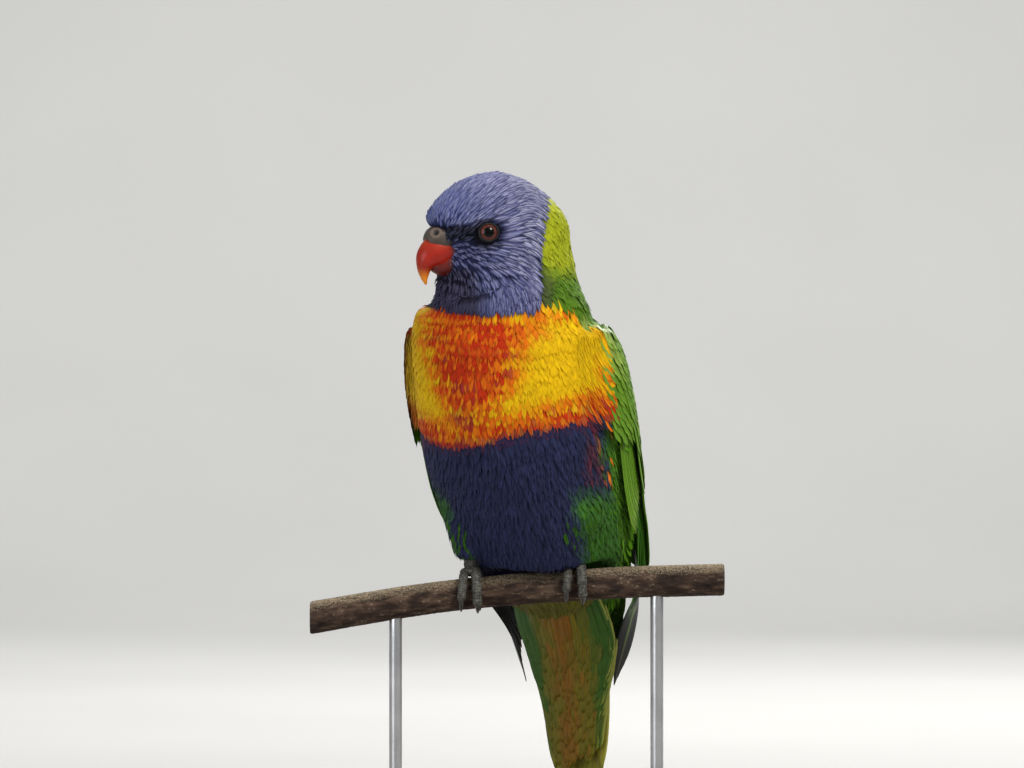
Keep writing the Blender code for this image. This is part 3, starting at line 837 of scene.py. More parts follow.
@dataclass(frozen=True)
class ScaleFinish(Finish):
    """Bare skin covered in small scales, on the toes and the lids."""

    scale: float = 1100.0
    depth: float = 0.35

    def dress(self, g: Graph) -> None:
        """Lays out the nodes.

        Args:
            g: The material's nodes.
        """
        cells = g.cells(g.place(), self.scale)
        cloud = g.noise(g.place(), 500.0, 3.0)
        dark = g.ramp(cells, [(0.25, (1.0, 1.0, 1.0)), (0.75, (0.42, 0.40, 0.38))])
        wear = g.ramp(cloud, [(0.3, (0.7, 0.68, 0.66)), (0.7, (1.15, 1.12, 1.06))])
        colour = g.shaded(g.shaded(g.tint(), dark), wear)
        height = g.sum(1.0, cells, "SUBTRACT")
        g.shade(base_color=colour, roughness=0.62, normal=g.bump(height, self.depth, 0.2))
        g.shade(specular_ior_level=0.22)


@dataclass(frozen=True)
class BarkFinish(Finish):
    """Thin brown bark, rough and specked, paler on top with dust and painted light."""

    name: str = "perch_bark"

    def dress(self, g: Graph) -> None:
        """Lays out the nodes.

        Args:
            g: The material's nodes.
        """
        skin = g.noise(g.place((0.35, 1.0, 1.0)), 420.0, 6.0)
        specks = g.cells(g.place((0.7, 1.0, 1.0)), 620.0)
        fine = g.noise(g.place(), 2200.0, 3.0)
        brown = g.ramp(skin, [
            (0.28, (0.010, 0.006, 0.005)), (0.48, (0.034, 0.020, 0.014)),
            (0.62, (0.072, 0.044, 0.030)), (0.8, (0.15, 0.105, 0.072)),
        ])
        spots = g.ramp(specks, [(0.12, (1.0, 1.0, 1.0)), (0.3, (0.0, 0.0, 0.0))])
        patchy = g.ramp(skin, [(0.45, (0.0, 0.0, 0.0)), (0.6, (0.45, 0.45, 0.45))])
        specked = g.blend(g.sum(spots, patchy, "MULTIPLY"), brown, (0.30, 0.24, 0.16))
        # The upper side is lightened grey in dusty patches: dust, and painted light falling from
        # above.
        height = g.add("SeparateXYZ", {0: g.add("NewGeometry").outputs["Normal"]}).outputs[2]
        top = g.stretch(height, (0.0, 0.8), (0.35, 0.95))
        dust = g.ramp(fine, [(0.42, (0.0, 0.0, 0.0)), (0.58, (1.0, 1.0, 1.0))])
        dust_and_top_light = g.sum(top, dust, "MULTIPLY")
        colour = g.blend(dust_and_top_light, specked, (0.42, 0.34, 0.22))
        relief = g.sum(skin, g.sum(fine, 0.35, "MULTIPLY"))
        g.shade(base_color=colour, roughness=0.86, normal=g.bump(relief, 0.8, 0.5))
        g.shade(specular_ior_level=0.2)


@dataclass(frozen=True)
class CutFinish(Finish):
    """The sawn ends of the perch: pale rings about the pith, with fine checks."""

    name: str = "perch_cut"

    def dress(self, g: Graph) -> None:
        """Lays out the nodes.

        Args:
            g: The material's nodes.
        """
        rings = g.add("TexNoise", {"Vector": g.tint(), "Scale": 26.0, "Detail": 2.0}).outputs[0]
        fibre = g.noise(g.place(), 1800.0, 4.0)
        wood = g.ramp(rings, [(0.35, (0.34, 0.22, 0.12)), (0.65, (0.62, 0.46, 0.28))])
        shade = g.ramp(fibre, [(0.3, (0.72, 0.70, 0.68)), (0.65, (1.0, 1.0, 1.0))])
        colour = g.shaded(wood, shade)
        g.shade(base_color=colour, roughness=0.8, normal=g.bump(fibre, 0.3, 0.15))


@dataclass(frozen=True)
class TimberFinish(Finish):
    """Dark turned timber under a satin varnish, its grain running along X."""

    name: str = "stand_timber"

    def dress(self, g: Graph) -> None:
        """Lays out the nodes.

        Args:
            g: The material's nodes.
        """
        bands = g.noise(g.place((0.25, 1.0, 1.0)), 26.0, 3.0)
        figure = g.noise(g.place((0.05, 1.0, 1.0)), 330.0, 5.0)
        pores = g.noise(g.place((0.03, 1.0, 1.0)), 1500.0, 3.0)
        grain = g.sum(g.sum(figure, 0.6, "MULTIPLY"), g.sum(bands, 0.5, "MULTIPLY"))
        wood = g.ramp(grain, [
            (0.38, (0.040, 0.018, 0.009)), (0.52, (0.115, 0.052, 0.024)),
            (0.68, (0.20, 0.10, 0.048)),
        ])
        fleck = g.ramp(pores, [(0.36, (0.45, 0.42, 0.40)), (0.46, (1.0, 1.0, 1.0))])
        colour = g.shaded(wood, fleck)
        g.shade(base_color=colour, roughness=0.38, normal=g.bump(pores, 0.12, 0.1))
        g.shade(coat_weight=0.35, coat_roughness=0.2)


@dataclass(frozen=True)
class SteelFinish(Finish):
    """Brushed steel rod, drawn along its length."""

    name: str = "stand_steel"

    def dress(self, g: Graph) -> None:
        """Lays out the nodes.

        Args:
            g: The material's nodes.
        """
        drawn = g.noise(g.place((1.0, 1.0, 0.02)), 3200.0, 3.0)
        smudge = g.noise(g.place(), 90.0, 3.0)
        colour = g.ramp(smudge, [(0.3, (0.46, 0.46, 0.47)), (0.7, (0.60, 0.60, 0.61))])
        g.shade(base_color=colour, metallic=1.0, roughness=g.stretch(drawn, (0.22, 0.42)))
        g.shade(normal=g.bump(drawn, 0.08, 0.05))


@dataclass(frozen=True)
class FloorFinish(Finish):
    """The plain pale floor."""

    name: str = "studio_floor"

    def dress(self, g: Graph) -> None:
        """Lays out the nodes.

        Args:
            g: The material's nodes.
        """
        cloud = g.noise(g.place(), 3.0, 2.0)
        grey = g.ramp(cloud, [(0.3, (0.41, 0.41, 0.405)), (0.7, (0.43, 0.43, 0.425))])
        g.shade(base_color=grey, roughness=0.9, specular_ior_level=0.0)


class Spots:
    """Places on the bird, measured against the edges of its markings.

    The turns are in degrees from the front towards the left, and wide is their size. A place is
    over the breast's upper edge, up from its lower edge, and ahead of the hood's rear edge.
    """

    top: tuple[Row, Row] = (
        (-130, -105, -90, -60, -37, -20, 0, 26, 45, 59, 68, 76, 85, 98),
        (
            231.5, 231.5, 230.6, 231.2, 229.9, 228.9, 228.4, 228.4, 228.2, 227.4, 225.2, 222.8,
            218.5, 213,
        ),
    )
    low: tuple[Row, Row] = (
        (-100, -68, -39, -20, -3, 17, 36, 51, 68, 76, 100),
        (190, 183.1, 177.3, 175, 176.2, 180, 182, 183.9, 185.8, 187.7, 192),
    )
    rear: tuple[Row, Row] = (
        (226, 232, 240, 246, 252, 258, 266, 272, 280),
        (-7, -9.5, -11.5, -13, -13.2, -13.5, -16, -18.5, -20),
    )

    def __init__(self, points: Array) -> None:
        """Measures the places.

        Args:
            points: The places in millimetres, (N, 3).
        """
        forward, self.side, self.z = BODY.measure(points)
        rows = np.array(Trunk().stations).T
        axis, lean, front, flank = (np.interp(self.z, rows[2], rows[k]) for k in (0, 1, 4, 6))
        self.turn = np.degrees(np.arctan2((self.side - lean) / flank, (forward - axis) / front))
        self.points, self.wide = points, np.abs(self.turn)
        self.h = HEAD.measure(points)[0]
        self.over = self.z - np.interp(self.turn, *self.top)
        self.up = self.z - np.interp(self.turn, *self.low)
        self.ahead = self.h - np.interp(self.z, *self.rear)

    def waves(self, turn_rate: float, rate: float, seed: int) -> Array:
        """Soft unevenness over turns and heights."""
        return drift(np.stack([self.turn, self.z], axis=1), (turn_rate, rate), seed)


@dataclass(frozen=True)
class Region:
    """Where on the trunk a tract grows, as ranges of the measures of its spots."""

    wide: Pair = ANY
    z: Pair = ANY
    over: Pair = ANY
    up: Pair = ANY
    ahead: Pair = ANY

    def holds(self, at: Spots) -> Array:
        """Which spots lie within every range.

        Args:
            at: The spots.

        Returns:
            Whether each does, (N,).
        """
        held = np.ones(len(at.z), bool)
        for name, (low, high) in vars(self).items():
            measure = getattr(at, name)
            held &= (measure > low) & (measure < high)
        return held


@dataclass(frozen=True)
class Plumage:
    """The bird's markings: which colour its feathers have at each place on the body."""

    violet: RGB = (0.042, 0.050, 0.145)
    lilac: RGB = (0.34, 0.35, 0.53)
    brow: RGB = (0.066, 0.088, 0.25)
    mask: RGB = (0.008, 0.009, 0.016)
    chin: RGB = (0.022, 0.019, 0.045)
    collar: RGB = (0.31, 0.35, 0.010)
    nape: RGB = (0.065, 0.15, 0.004)
    olive: RGB = (0.045, 0.050, 0.022)
    red: RGB = (0.46, 0.026, 0.002)
    orange: RGB = (0.64, 0.14, 0.002)
    yellow: RGB = (0.70, 0.43, 0.001)
    belly: RGB = (0.015, 0.018, 0.058)
    plum: RGB = (0.17, 0.020, 0.030)
    flank: RGB = (0.030, 0.11, 0.006)
    green: RGB = (0.072, 0.19, 0.005)
    vent: RGB = (0.10, 0.095, 0.006)
    # The pale shoulder colour is partly real yellow-green, partly a painted highlight of the lit
    # shoulder.
    shoulder: RGB = (0.34, 0.43, 0.09)
    eye: Triple = (8.0, 15.2, 257.4)

    def breast(self, at: Spots, rng: Rng) -> Array:
        """The breast's colours, barred red in the middle and yellow at its sides.

        Args:
            at: Where the feathers show.
            rng: The source of the unevenness.

        Returns:
            The colours, (N, 3).
        """
        z, turn, wide = at.z, at.turn, at.wide
        spread = 0.8 * at.waves(0.09, 0.8, 11) + 0.15 * rng.normal(0, 1, len(z))
        middle = np.interp(z, (180, 190, 200, 212, 222), (17, 19, 27, 36, 44))
        red = np.exp(-(((turn + 5) / middle) ** 4)) * np.interp(z, (186, 202), (0.74, 1.0))
        side = np.interp(z, (188, 198, 206, 214), (0.8, 0.55, 0.3, 0.42))
        side = smooth(66, 78, wide + 4 * spread) * side
        red = np.maximum(np.maximum(red, side * (0.8 + 0.3 * spread)), smooth(15, 3, at.up) * 0.86)
        bars = 0.5 + 0.5 * np.sin(z * 1.8 + 2.4 * np.sin(turn * 0.04 + 1) + 0.7 * spread)
        share = np.clip(red + 0.11 * spread - 0.52 * bars * smooth(0.15, 0.8, red) + 0.06, 0, 1)
        warm = mix(self.yellow, self.orange, smooth(0.08, 0.55, share))
        warm = mix(warm, self.red, smooth(0.5, 0.92, share))
        middle = np.exp(-(((turn + 8) / 16) ** 2)) * smooth(207, 198, z)
        stain = smooth(1.2, 2.2, at.waves(0.3, 0.9, 12) + 1.1 * middle)
        warm = mix(warm, self.plum, 0.5 * stain * smooth(0.25, 0.7, red))
        return mix(warm, self.plum, 0.7 * smooth(3, 0, at.up))

    def under(self, at: Spots, rng: Rng) -> Array:
        """The colours of the belly, the flanks and the vent.

        Args:
            at: Where the feathers show.
            rng: The source of the unevenness.

        Returns:
            The colours, (N, 3).
        """
        z, wide = at.z, at.wide
        loose = 0.9 * at.waves(0.15, 0.3, 13) + 0.4 * rng.normal(0, 1, len(z))
        colour = mix(self.belly, self.mask, 0.25 * rng.random(len(z)))
        green = smooth(34, 48, wide + 4 * loose) * smooth(163, 152, z)
        green = np.maximum(smooth(66, 74, wide + 3 * loose), green)
        rusty = smooth(46, 58, wide) * smooth(152, 160, z) * smooth(-0.3, 0.9, loose)
        rust = mix((0.045, 0.016, 0.020), self.plum, rng.random(len(z)) ** 3)
        colour = mix(colour, rust, 0.7 * rusty)
        colour = mix(colour, mix(self.flank, self.green, 0.8 * smooth(72, 80, wide)), green)
        spots = smooth(0.9, 1.2, rng.normal(0, 1, len(z))) * smooth(64, 70, wide)
        colour = mix(colour, self.orange, spots * smooth(80, 75, wide) * smooth(160, 164, z))
        return mix(colour, self.vent, smooth(123, 117, z) * smooth(75, 45, wide))

    def hood(self, at: Spots) -> Array:
        """The head's violet blue, with its dark mask and chin and its brighter brow.

        Args:
            at: Where the feathers show.

        Returns:
            The colours, (N, 3).
        """
        h, z = at.h, at.z
        colour = mix(self.violet, self.brow, 0.5 * smooth(258, 268, z) * smooth(2, 16, h))
        colour = mix(colour, self.brow, 0.7 * smooth(15, 21, h) * smooth(257, 261, z))
        pale = smooth(2, -14, h) * 0.35 + 0.25 * smooth(270, 278, z)
        colour = mix(colour, (0.12, 0.125, 0.26), pale)
        colour = mix(colour, self.chin, smooth(8, 15, h) * smooth(247, 241, z))
        beyond = np.clip(self.eye[0] - h, 0, None) + np.clip(h - 24, 0, None)
        band = smooth(4.2, 1.8, np.hypot(beyond, z - self.eye[2] - 0.4)) * smooth(3, 8, h)
        around = smooth(7.2, 5.0, np.hypot(h - self.eye[0], z - self.eye[2]))
        return mix(colour, self.mask, 0.92 * np.maximum(band, around))

    def colour(self, at: Spots, rng: Rng) -> Array:
        """The main colour of the feathers at each place.

        Args:
            at: Where the feathers show.
            rng: The source of the uneven edges.

        Returns:
            The colours, (N, 3).
        """
        loose = rng.normal(0, 1, len(at.z))
        front = smooth(99, 93, at.wide)
        belly, breast = self.under(at, rng), self.breast(at, rng)
        body = mix(belly, breast, smooth(-0.3, 0.3, at.up + 0.4 * loose))
        colour = mix(mix(self.green, self.flank, 0.6 * rng.random(len(loose))), body, front)
        neck = mix(self.nape, self.collar, smooth(238, 249, at.z + 1.5 * loose))
        edge = np.exp(-(((at.ahead + 2) / 3.5) ** 2))
        edge = edge * smooth(246, 238, at.z) * smooth(226, 230, at.z)
        neck = mix(neck, self.olive, 0.85 * edge)
        # Low on the neck's sides the pale shoulder colour comes in: yellow-green with a painted
        # highlight.
        low = smooth(224, 217, at.z + 2.5 * loose)
        neck = mix(neck, self.shoulder, low * smooth(48, 60, at.wide))
        upper = smooth(-0.2, 0.2, at.over + 0.5 * loose)
        colour = mix(colour, neck, upper * smooth(222, 228, at.z + 9 * front))
        return mix(colour, self.hood(at), upper * smooth(-0.2, 0.2, at.ahead + 0.5 * loose))


@dataclass
class Marks:
    """How feathers are marked about their main colours.

    Args:
        base: The main colour of each, (N, 3).
        shaft: The colour along the shaft, one or (N, 3).
        shaft_share: How strongly the shaft shows, one or (N,).
        shaft_width: How wide the streak is, as a share of half the width.
        tip: The colour of the tip, one or (N, 3).
        tip_share: How strongly the tip shows, one or (N,).
        tip_start: Where along the feather the tip begins.
        root_shade: How bright the hidden root is against the rest, as painted shade under the
            overlap.
        mottle: How uneven the brightness is.
    """

    base: Array
    shaft: Array | RGB
    shaft_share: Array | float
    shaft_width: float
    tip: Array | RGB
    tip_share: Array | float
    tip_start: float
    root_shade: float
    mottle: float

    def paint(self, along: Array, across: Array, rng: Rng) -> Array:
        """Colours for every point of the feathers.

        Args:
            along: Places along a feather, (K,).
            across: Places across it, (M,).
            rng: The source of the unevenness.

        Returns:
            The colours, (N, K, M, 3).
        """
        count = len(self.base)
        u, x = along[None, :, None], across[None, None, :]
        shape = (count, len(along), len(across))
        bright = rng.normal(1.0, 0.5 * self.mottle, (count, 1, 1))
        bright = bright * rng.normal(1.0, self.mottle, shape)
        # The root is darkened: painted shade where the feathers overlap it.
        bright = bright * (self.root_shade + (1 - self.root_shade) * smooth(0.05, 0.45, u))
        colour = np.broadcast_to(self.base[:, None, None], (*shape, 3))
        end = smooth(self.tip_start - 0.1, self.tip_start + 0.1, u + 0.12 * x**2)
        streak = np.exp(-((x / self.shaft_width) ** 2)) * smooth(0.1, 0.4, u)
        layers = ((self.tip, self.tip_share, end), (self.shaft, self.shaft_share, streak))
        for other, strong, where in layers:
            other = np.broadcast_to(other, (count, 3))[:, None, None]
            strong = np.broadcast_to(strong, count)[:, None, None]
            colour = mix(colour, other, where * strong * np.ones(shape))
        return np.clip(colour * bright[..., None], 0.0, 1.0)


@dataclass(frozen=True)
class Thigh:
    """A feathered thigh: level rings of forward, side, height and radius."""

    side: Side
    left_rings: Rows = (
        (-12, 21, 172, 8.0), (-6, 21.5, 163, 13.0), (0.5, 21, 151, 14.0), (-2.5, 19.8, 141, 11.0),
        (-7.5, 18.5, 133, 6.8),
    )
    right_rings: Rows = (
        (-8, -20, 172, 8.0), (0, -20.5, 163, 12.0), (5, -19.5, 151, 11.5), (7, -18.6, 141, 8.8),
        (7.5, -18.5, 133, 6.2),
    )

    @property
    def rings(self) -> Rows:
        """The rings of this side."""
        return self.left_rings if self.side is Side.LEFT else self.right_rings

    def at(self, places: Array, turns: Array, grow: float = 0.0) -> Array:
        """Points on the thigh.

        Args:
            places: Places down the thigh, from nought at its top to four at its foot.
            turns: Turns from the front towards the left in radians.
            grow: How far outside the rings the points lie.

        Returns:
            The points, (N, 3).
        """
        rows = spline(self.rings, places)
        facing, left = headings(BODY.yaw)
        way = np.cos(turns)[:, None] * facing + np.sin(turns)[:, None] * left
        return BODY.point(*rows[:, :3].T) + (rows[:, 3:] + grow) * way

    def shell(self, grow: float) -> Shell:
        """The thigh as a closed loft."""
        places, turns = rings_of(np.linspace(4, 0, 26), 36)
        return self.at(places, turns, grow), grid_faces(26, 36)


@dataclass
class BodySkin:
    """The skin under the body feathers, in their markings darkened as painted shade."""

    trunk: Trunk
    plumage: Plumage
    perch: "Perch"
    clearance: float = 4.0
    depth: float = 1.5
    thigh_depth: float = 1.1
    voxel: float = 1.15

    def clear_perch(self, points: Array) -> Array:
        """Moves points off the perch, so that the belly is hollowed over it.

        Args:
            points: Places on the skin, (N, 3).

        Returns:
            The moved places, (N, 3).
        """
        z, radius = self.perch.at(points[:, 0])
        back, up = points[:, 1] - self.perch.depth, points[:, 2] - z
        turn = np.clip(np.arctan2(back, up), math.radians(-20), math.radians(110))
        need = radius + self.clearance
        near = np.hypot(back, up) < need
        moved = points.copy()
        moved[near, 1] = (self.perch.depth + need * np.sin(turn))[near]
        moved[near, 2] = (z + need * np.cos(turn))[near]
        return moved

    @staticmethod
    def meet_bill(points: Array) -> Array:
        """Moves the cheeks' front edge a little over the sides of the bill.

        Args:
            points: Places on the skin, (N, 3).

        Returns:
            The moved places, (N, 3).
        """
        h, _, z = HEAD.measure(points)
        share = smooth(13, 19, h) * smooth(241, 245, z) * smooth(259, 255, z)
        return points + 4.0 * share[:, None] * headings(HEAD.yaw)[0]

    def build(self, finish: Material, rng: Rng) -> Surface:
        """Makes the skin.

        Args:
            finish: The skin's material.
            rng: The source of the uneven markings.

        Returns:
            The surface that feathers are laid on.
        """
        thighs = [Thigh(side).shell(-self.thigh_depth) for side in Side]
        shell = join([self.trunk.shell(-self.depth), *thighs])
        skin = place("body_skin", shell, finish, Slot.GREEN)
        remesh = skin.modifiers.new("one_skin", "REMESH")
        remesh.mode, remesh.voxel_size = "VOXEL", self.voxel * MM
        soften = skin.modifiers.new("soften", "SMOOTH")
        soften.factor, soften.iterations = 0.6, 6
        graph = bpy.context.evaluated_depsgraph_get()
        mesh = bpy.data.meshes.new_from_object(skin.evaluated_get(graph))
        skin.modifiers.clear()
        skin.data = mesh
        mesh.materials.clear()
        mesh.materials.append(finish)
        mesh.shade_smooth()
        places = np.empty(len(mesh.vertices) * 3)
        mesh.vertices.foreach_get("co", places)
        places = self.meet_bill(self.clear_perch(places.reshape(-1, 3) / MM))
        mesh.vertices.foreach_set("co", (places * MM).ravel())
        # The skin takes the plumage's colours darkened: painted shade in the gaps between the
        # feathers.
        tint(skin, self.plumage.colour(Spots(places), rng) * 0.55)
        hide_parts("head", "neck", "torso", "thigh_left", "thigh_right")
        return Surface(places, [tuple(p.vertices) for p in mesh.polygons])


@dataclass
class Comb:
    """Lays feathers along the skin in the way that they lie."""

    skin: Surface
    trunk: Trunk
    hull: Surface
    perch: "Perch"
    bill_root: Triple = (21.0, 0.0, 251.0)

    def lie(self, points: Array) -> Array:
        """Which way feathers point at each place: down the body, and away from the bill.

        Args:
            points: The places, (N, 3).

        Returns:
            The ways, (N, 3).
        """
        rows = np.array(self.trunk.stations).T
        slope = -np.gradient(BODY.point(*rows[:3]), axis=0)
        down = [np.interp(points[:, 2], rows[2], slope[:, k]) for k in range(3)]
        down = unit(np.stack(down, axis=1))
        away = unit(points - HEAD.point(*self.bill_root))
        along, _, z = HEAD.measure(points)
        away[:, 2] -= 1.5 * smooth(-2, -24, along) + 0.25 * smooth(262, 250, z)
        return unit(mix(down, away, smooth(232, 247, z)))

    def lay(
        self, roots: Array, lengths: Array, along: Array, rise: Pair, extra: Array, rng: Rng,
        bend: float,
    ) -> tuple[Array, Array]:
        """Lays feathers from their roots.

        Args:
            roots: Places near the skin, (N, 3).
            lengths: How long each is, (N,).
            along: Places along a feather, from nought to one, (K,).
            rise: How far the root and the tip stand off the skin.
            extra: How much further each tip stands off, (N,).
            rng: The source of the loose lie.
            bend: How loosely they lie, in radians.

        Returns:
            The middle lines and the outward directions, both (N, K, 3).
        """
        spots, normals, _ = self.skin.drop(roots)
        lines, outs = [spots], [normals]
        sway = rng.normal(0, bend, len(roots))[:, None]
        for step in np.diff(along):
            way = self.lie(spots)
            way = unit(way - normals * np.sum(way * normals, axis=1, keepdims=True))
            way = unit(way + np.cross(normals, way) * sway)
            spots, normals, _ = self.skin.drop(spots + way * (lengths * step)[:, None])
            lines.append(spots)
            outs.append(normals)
        lines, outs = np.stack(lines, axis=1), np.stack(outs, axis=1)
        height = rise[0] + (rise[1] - rise[0]) * along**1.2
        height = height[None] + extra[:, None] * along[None]
        height = rng.normal(1.0, 0.16, len(roots))[:, None] * height
        return lines + outs * height[..., None], outs


@dataclass
class Tract:
    """One field of body feathers and how they are grown."""

    name: str
    slot: Slot
    outline: Outline
    across: Row
    steps: int
    length: Pair
    width: float
    rise: Pair = (0.15, 1.15)
    camber: float = 0.2
    ridge: float = 0.06
    sweep: float = 0.12
    ragged: float = 0.06
    loose: float = 0.12
    roll: float = 0.10
    slim: float = 1.0
    spacing: Spacing = Spacing()
    region: Region = Region()

    def size(self, at: Spots) -> Array:
        """How far each feather is from the small to the large size of the tract."""
        return np.ones(len(at.z))

    def fluff(self, at: Spots) -> Array:
        """How much further than the rise each tip stands off, most beside the wings."""
        return 2.6 * smooth(72, 90, at.wide) * smooth(228, 214, at.z)

    def belongs(self, at: Spots) -> Array:
        """Which feathers may stay, by the places where they show."""
        return np.ones(len(at.z), bool)

    def marks(self, base: Array, at: Spots, rng: Rng) -> Marks:
        """Darker shafts and brighter edges."""
        return Marks(base, base * 0.45, 0.5, 0.14, np.minimum(base * 1.4, 1), 0.5, 0.75, 0.6, 0.12)

    def roots(self, comb: Comb, rng: Rng) -> tuple[Array, Array]:
        """Places for the roots and their places on the bake map.

        Args:
            comb: Knows the trunk and the skin.
            rng: The source of the small shifts.

        Returns:
            The roots, (N, 3), and their places on the map, (N, 2).
        """
        places, turns = comb.trunk.roots(self.spacing, rng)
        points = comb.trunk.at(places, turns)
        chosen = self.region.holds(Spots(points)) & (comb.skin.drop(points)[2] < 2.8)
        spots = np.stack([turns / 7.0, places / 21.0], axis=1) + 0.03
        return points[chosen], spots[chosen]

    def grow(self, comb: Comb, plumage: Plumage, finish: Material, rng: Rng) -> None:
        """Grows the tract's feathers as one piece.

        Args:
            comb: Lays the feathers on the skin.
            plumage: Gives the main colours.
            finish: The feathers' material.
            rng: The source of all unevenness.
        """
        points, spots = self.roots(comb, rng)
        at = Spots(points)
        share = self.size(at)
        lengths = self.length[0] + (self.length[1] - self.length[0]) * share
        lengths = lengths * rng.normal(1, 0.08, len(points))
        widths = self.width * (self.slim + (1 - self.slim) * share)
        widths = widths * rng.normal(1, 0.08, len(points))
        along = np.linspace(0, 1, self.steps) ** 0.85
        fluff = self.fluff(at)
        spines, normals = comb.lay(points, lengths, along, self.rise, fluff, rng, self.loose)
        seen = int(self.steps * 0.7)
        keep = self.clear(spines, plumage, comb.perch) & self.belongs(Spots(spines[:, seen]))
        spines, normals = spines[keep], normals[keep]
        at = Spots(spines[:, seen])
        across = np.array(self.across)
        colours = self.marks(plumage.colour(at, rng), at, rng).paint(along, across, rng)
        tilts = rng.normal(0, self.roll, len(spines))
        batch = Batch(
            self.outline, across, along, spines, normals, widths[keep], spots[keep], colours,
            tilts, self.camber, self.ridge, self.sweep, self.ragged,
        )
        coat(self.name, finish, self.slot, [batch], rng)

    @staticmethod
    def clear(spines: Array, plumage: Plumage, perch: "Perch") -> Array:
        """Which feathers keep off the eyes, the bill and the perch.

        Args:
            spines: Their middle lines, (N, K, 3).
            plumage: Knows where the eyes are.
            perch: The perch.

        Returns:
            Whether each stays, (N,).
        """
        h, side, z = HEAD.measure(spines)
        eye = (np.hypot(h - plumage.eye[0], z - plumage.eye[2]) < 3.75) & (np.abs(side) > 9)
        inside = (h > 21.5) & (np.abs(side) < 5.0) & (z > 241.5) & (z < 260.3)
        middle, radius = perch.at(spines[..., 0])
        on_perch = np.hypot(spines[..., 1] - perch.depth, z - middle) < radius + 2.0
        return ~(eye | inside | on_perch).any(axis=1)


class HeadTract(Tract):
    """The narrow streaked feathers of the hood."""

    def belongs(self, at: Spots) -> Array:
        """Which feathers may stay: those that show inside the hood."""
        return (at.over > np.where(at.turn < -75, 0.8, -0.9)) & (at.ahead > 0.5)

    def roots(self, comb: Comb, rng: Rng) -> tuple[Array, Array]:
        """Places for the roots, close together also at the middle of the crown.

        Args:
            comb: Knows the trunk and the skin.
            rng: The source of the small shifts.

        Returns:
            The roots, (N, 3), and their places on the map, (N, 2).
        """
        points, spots = super().roots(comb, rng)
        more = 90
        crown = comb.trunk.crown - rng.uniform(0, 1.6, more)
        crown = comb.trunk.at(crown, rng.uniform(0, 2 * math.pi, more))
        spots = np.concatenate([spots, rng.uniform(0.93, 0.99, (more, 2))])
        return np.concatenate([points, crown]), spots

    def size(self, at: Spots) -> Array:
        """The feathers lengthen away from the bill, and shorten again over the breast."""
        away = np.linalg.norm(at.points - HEAD.point(*Comb.bill_root), axis=1)
        return np.minimum(smooth(5, 30, away), np.clip((at.over - 0.6) / 5.4, -0.15, 1.0))

    def fluff(self, at: Spots) -> Array:
        """How much further than the rise each tip stands off, most at the hood's rear edge."""
        return 0.6 * smooth(9, 1, at.ahead)

    def marks(self, base: Array, at: Spots, rng: Rng) -> Marks:
        """Pale shafts on the violet, fainter on the mask and the chin.

        Args:
            base: The main colours, (N, 3); not used.
            at: Where the feathers show.
            rng: The source of the unevenness.

        Returns:
            The markings.
        """
        base = Plumage().hood(at)
        bright = np.clip(base.max(axis=1) / 0.2, 0.05, 1.0)
        strong = np.minimum(bright * 1.4, 1) * (0.62 + 0.3 * smooth(18, 4, at.h))
        strong *= (1 - 0.5 * smooth(244, 234, at.z)) * rng.uniform(0.35, 1.1, len(base))
        pale = mix(Plumage.lilac, (0.44, 0.44, 0.56), smooth(4, -12, at.h) * 0.8)
        return Marks(base, pale, np.clip(strong, 0, 0.95), 0.36, base, 0.0, 0.82, 0.3, 0.14)


class CollarTract(Tract):
    """The soft yellow-green band behind the hood and the green neck below it."""

    def marks(self, base: Array, at: Spots, rng: Rng) -> Marks:
        """Brighter tips over greener roots."""
        return Marks(base, base * 0.7, 0.3, 0.2, np.minimum(base * 1.25, 1), 0.5, 0.7, 0.6, 0.10)


class BreastTract(Tract):
    """The broad, barred feathers of the breast."""

    def size(self, at: Spots) -> Array:
        """The feathers shorten towards the breast's lower rim."""
        return smooth(0, 9, at.up)

    def fluff(self, at: Spots) -> Array:
        """The breast lies close; the cuffs carry it on over the wings."""
        return np.zeros(len(at.z))

    def marks(self, base: Array, at: Spots, rng: Rng) -> Marks:
        """Warmer tips, a few with a dark hair along the shaft.

        Args:
            base: The main colours, (N, 3).
            at: Where the feathers show; not used.
            rng: The source of the unevenness.

        Returns:
            The markings.
        """
        dark = rng.random(len(base)) < 0.02
        shaft = np.where(dark[:, None], (0.03, 0.012, 0.012), base * 0.8)
        tip = mix(base, Plumage.red, 0.16)
        return Marks(base, shaft, np.where(dark, 0.9, 0.3), 0.3, tip, 0.5, 0.84, 0.85, 0.07)


class BellyTract(Tract):
    """The long soft feathers of the belly, the flanks and the vent."""

    def fluff(self, at: Spots) -> Array:
        """How much further than the rise each tip stands off, less than elsewhere."""
        return 0.45 * super().fluff(at)

    def marks(self, base: Array, at: Spots, rng: Rng) -> Marks:
        """Faint paler shafts."""
        shaft = mix(base, (0.07, 0.08, 0.16), 0.4)
        return Marks(base, shaft, 0.35, 0.2, base * 1.2, 0.5, 0.8, 0.55, 0.16)


